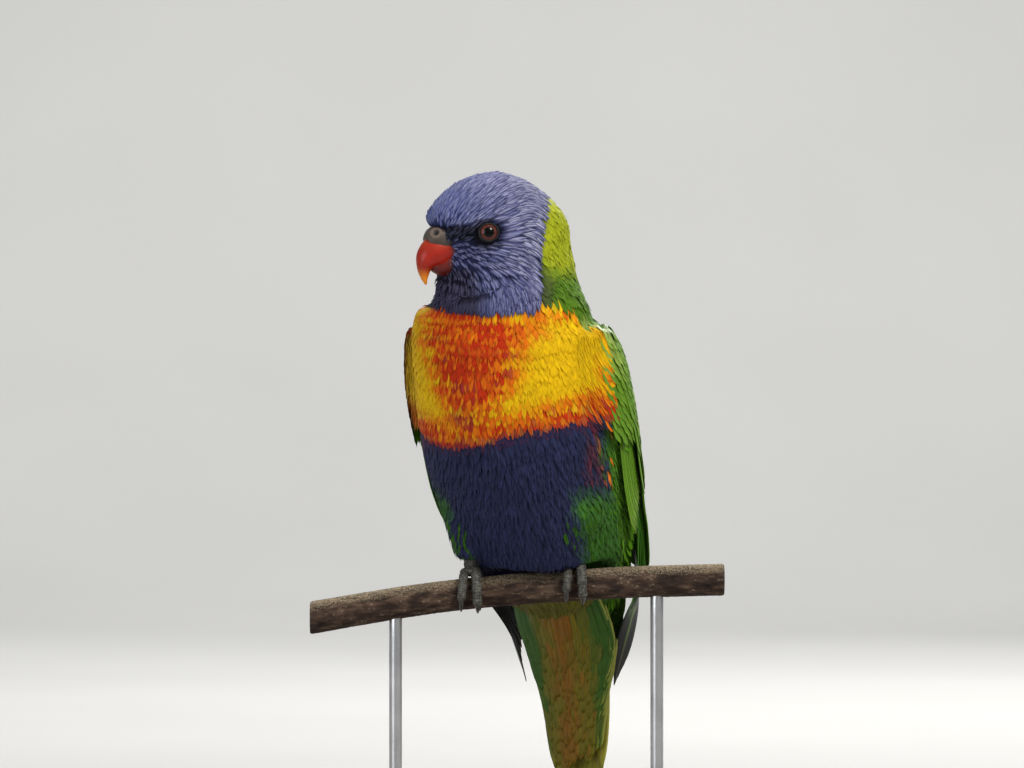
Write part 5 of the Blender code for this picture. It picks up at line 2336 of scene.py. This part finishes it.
@dataclass
class Bill:
    """The hooked bill in its two halves, and the cere with its nostrils."""

    upper: Rows = (
        (11, 252, 6.0, 5.6), (18, 252.4, 6.2, 5.8), (23.2, 250.3, 6.7, 5.5),
        (26.6, 247.7, 5.3, 4.7), (28.2, 244.6, 3.1, 3.3), (28.3, 241, 1.6, 1.7),
        (27.6, 237.9, 0.3, 0.4),
    )
    lower: Rows = (
        (11, 247.0, 4.6, 4.9), (17, 246.4, 4.9, 5.0), (21.5, 245.2, 4.0, 4.2),
        (24.4, 245.0, 2.4, 3.0), (26, 245.7, 0.7, 1.1),
    )
    cere: Rows = (
        (14, 254.8, 5.8, 6.6), (19, 255.6, 5.9, 6.7), (22.8, 255.6, 5.4, 6.4),
        (25.4, 254.8, 4.2, 5.2), (27.2, 254.0, 2.6, 3.6),
    )
    nostril: Triple = (25.0, 4.3, 257.5)

    def half(self, name: str, rows: Rows, finish: Material) -> None:
        """Makes one half of the bill, red with an amber tip; the lower half is in painted shade.

        Args:
            name: The name of the half's solid.
            rows: The half's rows in the head's plane.
            finish: Its material.
        """
        shell = head_loft(rows, 10, 48)
        h, side, z = HEAD.measure(shell[0])
        ridge = smooth(3.5, 0.0, np.abs(side)) * smooth(24, 28, h)
        bright = smooth(249, 256, z) * 0.5 + 0.4 * ridge
        colour = mix((0.36, 0.012, 0.002), (0.48, 0.045, 0.004), bright)
        if name == "upper_bill":
            tip = smooth(246.0, 239.5, z + 1.2 * np.abs(side) / 3)
            colour = mix(colour, (0.80, 0.26, 0.012), tip)
        else:
            # The lower half is darkened: painted shade under the upper half.
            colour = mix(colour, (0.06, 0.006, 0.005), 0.8)
        # Darker where the bill runs in under the feathers: painted shade.
        colour = mix(colour, (0.08, 0.02, 0.016), 0.7 * smooth(20.5, 18.0, h))
        piece = place(f"{name}_horn", shell, finish, Slot.BILL, colour)
        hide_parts(name)

    def build(self, horn: Material, skin: Material) -> None:
        """Makes the bill and the cere.

        Args:
            horn: The bill's material.
            skin: The cere's material.
        """
        self.half("upper_bill", self.upper, horn)
        self.half("lower_bill", self.lower, horn)
        points, faces = head_loft(self.cere, 16, 72)
        middle = HEAD.point(22.0, 0.0, 254.5)
        forward, out, height = self.nostril
        colour = np.array((0.085, 0.066, 0.055))
        for side in (-1, 1):
            away = np.linalg.norm(points - HEAD.point(forward, side * out, height), axis=1)
            pit, rim = smooth(1.5, 0.6, away), np.exp(-(((away - 1.9) / 0.5) ** 2))
            points = points + unit(middle - points) * (1.1 * pit - 0.32 * rim)[:, None]
            # The nostril's hole is painted near-black: painted shade inside the shallow dent.
            colour = mix(colour, (0.012, 0.010, 0.010), pit)
            colour = mix(colour, (0.24, 0.17, 0.14), 0.7 * rim * (1 - pit))
        colour = mix(colour, Plumage.mask, smooth(21.5, 19.0, HEAD.measure(points)[0]))
        piece = place("cere_skin", (points, faces), skin, Slot.SKIN, colour)
        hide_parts("cere")


@dataclass
class Eye:
    """One eye: the ball with its iris, and the ring of bare skin about it."""

    side: Side
    centre: Triple = Plumage.eye
    aim: Triple = (0.22, 0.97, 0.05)
    radius: float = 4.4
    lid: Triple = (3.0, 3.45, 0.5)

    def build(self, ball: Material, skin: Material) -> None:
        """Makes the eyeball and its lids.

        Args:
            ball: The eyeball's material.
            skin: The lids' material.
        """
        sign = self.side.value
        middle = HEAD.point(self.centre[0], sign * self.centre[1], self.centre[2])
        facing, left = headings(HEAD.yaw)
        aim = self.aim[0] * facing + sign * self.aim[1] * left + np.array((0, 0, self.aim[2]))
        aim = unit(aim)
        across = unit(np.cross(aim, (0.0, 0.0, 1.0)))
        up = np.cross(across, aim)
        self.make_ball(middle, (aim, across, up), ball)
        self.make_lids(middle, (aim, across, up), skin)

    def make_ball(self, middle: Array, axes: tuple[Array, ...], finish: Material) -> None:
        """Makes the eyeball with its pupil, its iris and the dark round it.

        Args:
            middle: The middle of the ball.
            axes: The way it looks, and the ways across and up over it.
            finish: Its material.
        """
        rings, sides = 60, 64
        polar, turn = rings_of(np.linspace(0.02, math.pi - 0.02, rings), sides)
        aim, across, up = axes
        out = np.cos(polar)[:, None] * aim
        flat = np.cos(turn)[:, None] * across + np.sin(turn)[:, None] * up
        points = middle + self.radius * (out + np.sin(polar)[:, None] * flat)
        reach = self.radius * np.sin(polar) + 100.0 * (polar > 1.5)
        streak = 0.75 + 0.25 * np.sin(turn * 19 + 2 * np.sin(turn * 7))
        iris = mix((0.028, 0.020, 0.019), (0.17, 0.040, 0.028), smooth(1.9, 2.4, reach))
        colour = mix((0.0005, 0.0005, 0.0005), iris * streak[:, None], smooth(1.65, 1.8, reach))
        colour = mix(colour, (0.004, 0.004, 0.005), smooth(3.0, 3.2, reach))
        shell = points, grid_faces(rings, sides)
        eye = place(f"eyeball_{self.side.word}", shell, finish, Slot.EYE, colour)
        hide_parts(f"eye_{self.side.word}")

    def make_lids(self, middle: Array, axes: tuple[Array, ...], finish: Material) -> None:
        """Makes the ring of beaded bare skin about the eye.

        Args:
            middle: The middle of the ball.
            axes: The way it looks, and the ways across and up over it.
            finish: Its material.
        """
        rise, major, minor = self.lid
        rings, sides = 72, 14
        turn, roll = rings_of(np.linspace(0, 2 * math.pi, rings, endpoint=False), sides)
        aim, across, up = axes
        flat = np.cos(turn)[:, None] * across + np.sin(turn)[:, None] * up
        bead = minor * (1 + 0.10 * np.sin(turn * 26))
        wide = major + 0.2 * np.cos(2 * turn) + bead * np.cos(roll)
        points = middle + aim * (rise + bead * np.sin(roll))[:, None] + flat * wide[:, None]
        faces = grid_faces(rings + 1, sides, caps=False)
        faces = [tuple(k % len(points) for k in face) for face in faces]
        name = f"lids_{self.side.word}"
        place(name, (points, faces), finish, Slot.SKIN, (0.014, 0.012, 0.014))


@dataclass
class Perch:
    """The cut length of branch, as places along X, heights and radii."""

    rows: Rows = (
        (-83, 109.6, 6.5), (-60, 113.6, 6.4), (-35, 117.4, 6.25), (-10, 120.1, 6.2),
        (14, 121.9, 6.2), (45, 123.6, 6.25), (77, 124.4, 6.35),
    )
    depth: float = -12.0

    def at(self, x: Array) -> tuple[Array, Array]:
        """The height and the radius at places along it."""
        fine = spline(self.rows, np.linspace(0, len(self.rows) - 1, 61))
        return np.interp(x, fine[:, 0], fine[:, 1]), np.interp(x, fine[:, 0], fine[:, 2])

    def build(self, bark: Material, cut: Material) -> None:
        """Makes the perch with its bark and its two sawn ends.

        Args:
            bark: The bark's material.
            cut: The material of the sawn ends.
        """
        rings, sides = 420, 96
        x, turns = rings_of(np.linspace(self.rows[0][0], self.rows[-1][0], rings), sides)
        z, radius = self.at(x)
        size = radius - 0.12 + np.array([self.relief(*place) for place in zip(x, turns)])
        size = size - 0.5 * np.exp(-np.minimum(x - x[0], x[-1] - x) / 0.35)
        points = np.stack([x, self.depth - size * np.sin(turns), z + size * np.cos(turns)], axis=1)
        ends, shares = [], (1.0, 0.93, 0.75, 0.5, 0.25, 0.04)
        for outer in (points[:sides], points[:-sides - 1:-1]):
            middle = outer.mean(axis=0)
            disc = np.concatenate([middle + (outer - middle) * share for share in shares])
            pith = tuple(range(len(disc) - sides, len(disc)))
            ends.append((disc, [*grid_faces(len(shares), sides, caps=False), pith]))
        points, faces = join([(points, grid_faces(rings, sides, caps=False)), *ends])
        rate = np.tile(np.repeat(shares, sides), 2)
        colour = np.zeros((len(points), 3))
        colour[rings * sides:] = np.stack([rate, 0.08 * np.sin(9 * rate), 0 * rate], axis=1)
        perch = place("perch_branch", (points, faces), bark, Slot.BARK, colour)
        perch.data.materials.append(cut)
        sawn = np.arange(len(faces)) >= (rings - 1) * sides
        perch.data.polygons.foreach_set("material_index", sawn.astype(np.int32))
        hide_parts("perch")

    @staticmethod
    def relief(x: float, turn: float) -> float:
        """How far the bark stands out at one place.

        Args:
            x: The place along the perch.
            turn: The turn about it in radians.

        Returns:
            The height of the bark.
        """
        spot = Vector((x * 0.10, 1.3 * math.cos(turn), 1.3 * math.sin(turn)))
        broad = noise.noise(spot)
        fine = noise.noise(Vector((x * 0.75, 5.0 * math.cos(turn), 5.0 * math.sin(turn))))
        crack = abs(noise.noise(Vector((x * 0.22, 4.2 * math.cos(turn) + 9, 4.2 * math.sin(turn)))))
        return 0.14 * broad + 0.10 * fine - 0.16 * max(0.0, 0.16 - crack) / 0.16


@dataclass
class Foot:
    """A foot that grips the perch, two toes ahead and two behind.

    A toe is the turns of its root and its tip round the perch, how far they are from the middle
    along the perch, and its radius.
    """

    side: Side
    perch: Perch
    gap: float = 0.4
    toes: Rows = (
        (4, 104, -2.1, -3.4, 1.75), (4, 122, 2.1, 3.0, 1.95),
        (-4, -86, -2.0, -3.6, 1.55), (-4, -112, 2.0, 3.8, 1.8),
    )
    toe_grid: tuple[int, int] = (90, 28)
    scutes: int = 17
    claw_turn: float = 38.0
    claw_grid: tuple[int, int] = (30, 20)

    @property
    def middle(self) -> float:
        """Where along the perch the foot stands."""
        return 19.3 if self.side is Side.LEFT else -21.2

    @property
    def ridges(self) -> Array:
        """How far the scutes stand out along a toe, from nought to one."""
        along = np.linspace(0, 1, self.toe_grid[0])
        return np.abs(np.sin(along * self.scutes * math.pi)) ** 0.5

    def around(self, x: Array, turn: Array, out: Array) -> Array:
        """Places round the perch.

        Args:
            x: Where along the perch they are.
            turn: Their turns from its top towards the front, in degrees.
            out: How far they are off the foot's gap.

        Returns:
            The points, (N, 3).
        """
        z, radius = self.perch.at(x)
        reach, angle = radius + self.gap + out, np.radians(turn)
        depth = self.perch.depth - reach * np.sin(angle)
        return np.stack([x, depth, z + reach * np.cos(angle)], axis=-1)

    def toe(self, row: Row) -> Shell:
        """One toe with its scutes and pads.

        Args:
            row: The toe's row.

        Returns:
            The points and the faces.
        """
        start, end, turn_in, turn_out, radius = row
        rings, sides = self.toe_grid
        u = np.linspace(0, 1, rings)
        x = self.middle + turn_in + (turn_out - turn_in) * u
        path = self.around(x, start + (end - start) * u, radius)
        knuckle = 1.0 + 0.06 * np.cos(u * 6.5 * math.pi)
        radii = radius * knuckle * (0.96 + 0.05 * self.ridges) * (1 - 0.12 * u)
        return tube(path, radii * (1 - 0.3 * smooth(0.93, 1.0, u) ** 2), sides)

    def claw(self, row: Row) -> Shell:
        """One hooked claw.

        Args:
            row: The toe's row.

        Returns:
            The points and the faces.
        """
        _, end, _, turn_out, radius = row
        rings, sides = self.claw_grid
        way = 1 if end > 0 else -1
        u = np.linspace(0, 1, rings)
        turn = end - way * 4.0 + way * (self.claw_turn + 4.0) * u
        path = self.around(np.full(rings, self.middle + turn_out), turn, radius - 0.35 * u)
        return tube(path, 1.15 - 0.88 * u**1.3, sides)

    def sole(self) -> list[Shell]:
        """The sole across the perch, and the leg that rises from it.

        Returns:
            The points and the faces of both.
        """
        z, radius = self.perch.at(np.array(self.middle))
        start = np.array((self.middle, self.perch.depth, float(z + radius + self.gap)))
        y, leg = np.linspace(-3.4, 3.4, 20), np.linspace(0, 1, 24)
        across = start + np.stack([0 * y, y, 0 * y + 1.85], axis=1)
        up = start + np.stack([0 * leg, 0 * leg, 2.0 + 9.0 * leg], axis=1)
        return [
            tube(across, 1.6 + 1.7 * (1 - (y / 3.4) ** 2) ** 0.7, 32, 0.57),
            tube(up, 2.1 + 0.25 * np.abs(np.sin(leg * 5 * math.pi)) + 0.5 * leg, 24),
        ]

    def build(self, skin: Material, horn: Material, rng: Rng) -> None:
        """Makes the foot and its claws.

        Args:
            skin: The material of the toes.
            horn: The material of the claws.
            rng: The source of the uneven colour.
        """
        word = self.side.word
        shell = join([*self.sole(), *(self.toe(row) for row in self.toes)])
        pale = rng.normal(1.0, 0.06, len(shell[0]))
        bands = np.tile(np.repeat(0.35 + 0.75 * self.ridges, self.toe_grid[1]), len(self.toes))
        pale[-len(bands):] *= bands
        colour = pale[:, None] * (0.115, 0.115, 0.105)
        foot = place(f"foot_{word}_skin", shell, skin, Slot.SKIN, colour)
        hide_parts(f"foot_{self.side.word}")
        share = np.repeat(np.linspace(0, 1, self.claw_grid[0]), self.claw_grid[1])
        colour = mix((0.05, 0.045, 0.04), (0.012, 0.010, 0.010), share)
        for number, row in enumerate(self.toes, 1):
            name = f"claw_{word}_{number}_horn"
            claw = place(name, self.claw(row), horn, Slot.CLAW, colour)
            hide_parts(f"claw_{self.side.word}_{number}")


def lathe(profile: Array, sides: int, x: float, y: float) -> Shell:
    """A turned solid about an upright axis.

    Args:
        profile: Its radii and heights from the bottom up, (N, 2).
        sides: How many points a ring has.
        x: The axis's place along X.
        y: The axis's place along Y.

    Returns:
        The points and the faces.
    """
    turns = np.linspace(0, 2 * math.pi, sides, endpoint=False)
    profile = np.asarray(profile, float)
    points = np.stack([
        x + profile[:, :1] * np.cos(turns),
        y + profile[:, :1] * np.sin(turns),
        np.repeat(profile[:, 1:], sides, axis=1),
    ], axis=-1)
    return points.reshape(-1, 3), grid_faces(len(profile), sides)


@dataclass
class Stand:
    """The display stand: a turned base and two slim rods up to the perch."""

    perch: Perch
    radius: float = 64.0
    height: float = 12.0
    edge: float = 1.5
    rod_radius: float = 2.5
    rods: dict[Side, float] = field(default_factory=lambda: {Side.LEFT: -50.0, Side.RIGHT: 51.0})

    def base(self) -> Shell:
        """The base, with a groove near its foot and one near the edge of its top.

        Returns:
            The points and the faces.
        """
        top, r, round_off = self.height, self.radius, self.edge
        profile = [
            (20.0, 0.0), (r - 1.2, 0.0), (r - 0.3, 0.35), (r, 1.2), (r, 3.0), (r - 0.7, 3.4),
            (r - 0.7, 3.8), (r, 4.2),
        ]
        profile += [
            (r - round_off * (1 - math.sin(a)), top - round_off * (1 - math.cos(a)))
            for a in np.linspace(math.pi / 2, 0, 9)
        ]
        profile += [
            (r - 5.0, top), (r - 5.4, top - 0.5), (r - 6.2, top - 0.5), (r - 6.6, top),
            (20.0, top),
        ]
        return lathe(np.array(profile), 192, 0.0, 0.0)

    def rod(self, x: float) -> Shell:
        """One rod with the collar at its foot.

        Args:
            x: Where along the perch it stands.

        Returns:
            The points and the faces.
        """
        z, perch_radius = self.perch.at(np.array(x))
        low, high, r = self.height, z - perch_radius * 0.55, self.rod_radius
        profile = [
            (r + 1.9, low + 0.05), (r + 1.9, low + 1.6), (r + 1.6, low + 2.1),
            (r + 0.5, low + 2.3), (r, low + 2.8),
        ]
        profile += [(r, low + 2.8 + (high - 4.4 - low) * k / 12) for k in range(1, 13)]
        return lathe(np.array([*profile, (r - 0.25, high)]), 48, x, self.perch.depth)

    def build(self, timber: Material, steel: Material) -> None:
        """Makes the base and the rods.

        Args:
            timber: The base's material.
            steel: The rods' material.
        """
        base = place("stand_base_turned", self.base(), timber, Slot.WOOD)
        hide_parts("stand_base")
        for side, x in self.rods.items():
            rod = place(f"stand_rod_{side.word}_turned", self.rod(x), steel, Slot.STEEL)
            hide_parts(f"stand_rod_{side.word}")


@dataclass(frozen=True)
class Lamp:
    """A round soft light: its name, place, target, width, power in watts and colour."""

    name: str
    spot: Triple
    target: Triple
    size: float
    power: float
    colour: RGB

    def build(self) -> None:
        """Makes the light."""
        data = bpy.data.lights.new(self.name, "AREA")
        data.shape = "DISK"
        data.size, data.energy, data.color = self.size * MM, self.power, self.colour
        lamp = bpy.data.objects.new(self.name, data)
        lamp.location = Vector(self.spot) * MM
        aim = Vector(self.target) * MM - lamp.location
        lamp.rotation_euler = aim.to_track_quat("-Z", "Y").to_euler()
        bpy.context.scene.collection.objects.link(lamp)


@dataclass
class Studio:
    """The camera at the photograph's place, the plain floor and the soft lights."""

    eye: Triple = (-5.0, -2000.0, 200.03)
    lens: float = 180.8
    sensor: float = 36.0
    sky: RGB = (0.92, 0.94, 0.96)
    sky_strength: float = 0.37
    breast: Triple = (0.0, -12.0, 170.0)
    half_width: float = 12000.0
    level: float = -0.2
    wall: float = 2200.0
    bend: float = 900.0

    def lamps(self) -> list[Lamp]:
        """The lights.

        Returns:
            The key, the fill, the rim light and the light on the wall.
        """
        warm, cool, wall = (1.0, 0.965, 0.91), (0.92, 0.96, 1.0), (0.0, 2900.0, 700.0)
        return [
            Lamp("key", (900.0, -1150.0, 1450.0), self.breast, 600.0, 31.0, warm),
            Lamp("fill", (-1300.0, -1300.0, 500.0), self.breast, 1200.0, 10.5, cool),
            Lamp("rim", (500.0, 1300.0, 1100.0), self.breast, 700.0, 18.0, (1.0, 0.98, 0.95)),
            Lamp("backdrop", (0.0, 1500.0, 2600.0), wall, 2400.0, 90.0, (1.0, 0.99, 0.97)),
        ]

    def floor(self, finish: Material) -> None:
        """Makes the floor, which bends up into the wall behind.

        Args:
            finish: Its material.
        """
        sweep = [(-self.half_width, self.level), (self.wall, self.level)]
        sweep += [
            (self.wall + self.bend * math.sin(a), self.level + self.bend * (1 - math.cos(a)))
            for a in np.linspace(0.1, math.pi / 2, 15)
        ]
        sweep += [(self.wall + self.bend, 6000.0)]
        points = [(x, y, z) for y, z in sweep for x in (-self.half_width, self.half_width)]
        mesh = bpy.data.meshes.new("studio_floor")
        strips = [(2 * k, 2 * k + 1, 2 * k + 3, 2 * k + 2) for k in range(len(sweep) - 1)]
        mesh.from_pydata((np.array(points) * MM).tolist(), [], strips)
        mesh.shade_smooth()
        mesh.materials.append(finish)
        floor = bpy.data.objects.new("studio_floor", mesh)
        bpy.context.scene.collection.objects.link(floor)

    def build(self, floor_finish: Material) -> None:
        """Makes the floor, the lights, the surroundings and the camera.

        Args:
            floor_finish: The floor's material.
        """
        scene = bpy.context.scene
        self.floor(floor_finish)
        scene.world = bpy.data.worlds.new("studio")
        scene.world.use_nodes = True
        sky = scene.world.node_tree.nodes["Background"]
        sky.inputs["Color"].default_value = (*self.sky, 1.0)
        sky.inputs["Strength"].default_value = self.sky_strength
        for lamp in self.lamps():
            lamp.build()
        data = bpy.data.cameras.new("photograph")
        data.lens, data.sensor_width = self.lens, self.sensor
        data.clip_start, data.clip_end = 0.05, 50.0
        camera = bpy.data.objects.new("photograph", data)
        camera.location = Vector(self.eye) * MM
        camera.rotation_euler = (math.pi / 2, 0.0, 0.0)
        scene.collection.objects.link(camera)
        scene.camera = camera
        scene.view_settings.view_transform = "Standard"


class Lorikeet:
    """The bird: its skin, its coats of feathers, wings, tail, head and feet."""

    def __init__(self, perch: Perch, seed: int) -> None:
        """Starts the bird.

        Args:
            perch: The perch that it grips.
            seed: The seed of everything uneven.
        """
        self.perch = perch
        self.rng = np.random.default_rng(seed)
        self.trunk = Trunk()
        self.plumage = Plumage()

    def tracts(self) -> list[Tract]:
        """The fields of body feathers.

        Returns:
            The tracts, in the order in which they grow.
        """
        soft, lance = Outline.SOFT, Outline.LANCE
        four, five = (-1, -0.4, 0.4, 1), (-1, -0.45, 0, 0.45, 1)
        hood = Spacing(
            (0.0, 9.0, 13.0, 16.0, 19.0), (2.0, 1.7, 1.55, 1.45, 1.45), (1.8, 1.5, 1.3, 1.15, 1.0)
        )
        breast = Spacing((0.0, 9.5, 12.0), (1.25, 1.2, 1.1), (1.3, 1.25, 1.1))
        belly = Spacing((3.0, 7.0, 10.0, 12.0), (1.8, 1.75, 1.6, 1.5), (1.7, 1.65, 1.6, 1.5))
        return [
            HeadTract(
                "hood_feathers", Slot.HEAD, lance, five, 7, (3.2, 8.6), 2.05, (0.1, 0.95), 0.25,
                0.22, 0.0, 0.03, 0.09, slim=0.63, spacing=hood,
                region=Region(z=(229, 300), ahead=(-1, 300)),
            ),
            CollarTract(
                "collar_feathers", Slot.GREEN, soft, five, 6, (7.0, 7.0), 2.4, (0.15, 0.9),
                ragged=0.09, region=Region(z=(214, 279), over=(-1, 300), ahead=(-300, 1.5)),
            ),
            BreastTract(
                "breast_feathers", Slot.BREAST, soft, four, 6, (4.0, 6.2), 1.9, (0.1, 0.6), 0.12,
                0.0, 0.06, 0.09, roll=0.06, spacing=breast,
                region=Region(wide=(-1, 92), over=(-300, 1.5), up=(-0.5, 300)),
            ),
            BellyTract(
                "belly_feathers", Slot.BREAST, lance, five, 7, (9.0, 9.0), 2.6, (0.15, 1.2),
                ragged=0.05, spacing=belly, region=Region(wide=(-1, 104), up=(-300, 2)),
            ),
            ShoulderTract(
                "shoulder_feathers", Slot.GREEN, soft, five, 7, (9.5, 9.5), 2.9, (0.2, 1.2),
                ragged=0.07, region=Region(wide=(78, 300), z=(215, 233)),
            ),
            Tract(
                "back_feathers", Slot.GREEN, Outline.BODY, (-1, -0.6, -0.22, 0, 0.22, 0.6, 1), 6,
                (10.0, 10.0), 5.4, (0.15, 1.05), ragged=0.05,
                region=Region(wide=(88, 300), z=(0, 232)),
            ),
            *(ThighTract(
                f"thigh_{side.word}_feathers", Slot.GREEN, soft, five, 6, (7.5, 7.5), 2.2,
                (0.1, 0.95), ragged=0.08, side=side,
            ) for side in Side),
        ]

    def build(self) -> None:
        """Makes every piece of the bird."""
        down = PlumeFinish("under_down", 0.85, 0.05, 0.1, 0.5).make()
        soft = PlumeFinish("body_plumes", 0.70, 0.05, 0.12, 0.42).make()
        firm = PlumeFinish("flight_plumes", 0.50, 0.02, 0.3, 0.25).make()
        horn = HornFinish("bill_horn", 0.40, 0.12).make()
        claw = HornFinish("claw_horn", 0.35, 0.3, 0.2, 1500.0).make()
        cere = HornFinish("cere_skin", 0.55, 0.05, 0.3, 1600.0).make()
        toes = ScaleFinish("toe_scales", 850.0, 0.55).make()
        surface = BodySkin(self.trunk, self.plumage, self.perch).build(down, self.rng)
        trunk = Surface(*self.trunk.shell(0.0))
        comb = Comb(surface, self.trunk, trunk, self.perch)
        for tract in self.tracts():
            tract.grow(comb, self.plumage, soft, self.rng)
        for side in Side:
            Wing(side).build(trunk, self.plumage, firm, soft, self.rng)
            Eye(side).build(EyeFinish().make(), toes)
            Foot(side, self.perch).build(toes, claw, self.rng)
        Tail().build(self.trunk, firm, self.rng)
        Bill().build(horn, cere)


def main() -> None:
    """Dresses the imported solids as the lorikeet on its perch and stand."""
    logging.basicConfig(level=logging.INFO, format="%(name)s %(message)s")
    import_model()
    perch = Perch()
    perch.build(BarkFinish().make(), CutFinish().make())
    Stand(perch).build(TimberFinish().make(), SteelFinish().make())
    Lorikeet(perch, SEED).build()
    Studio().build(FloorFinish().make())


if __name__ == "__main__":
    main()
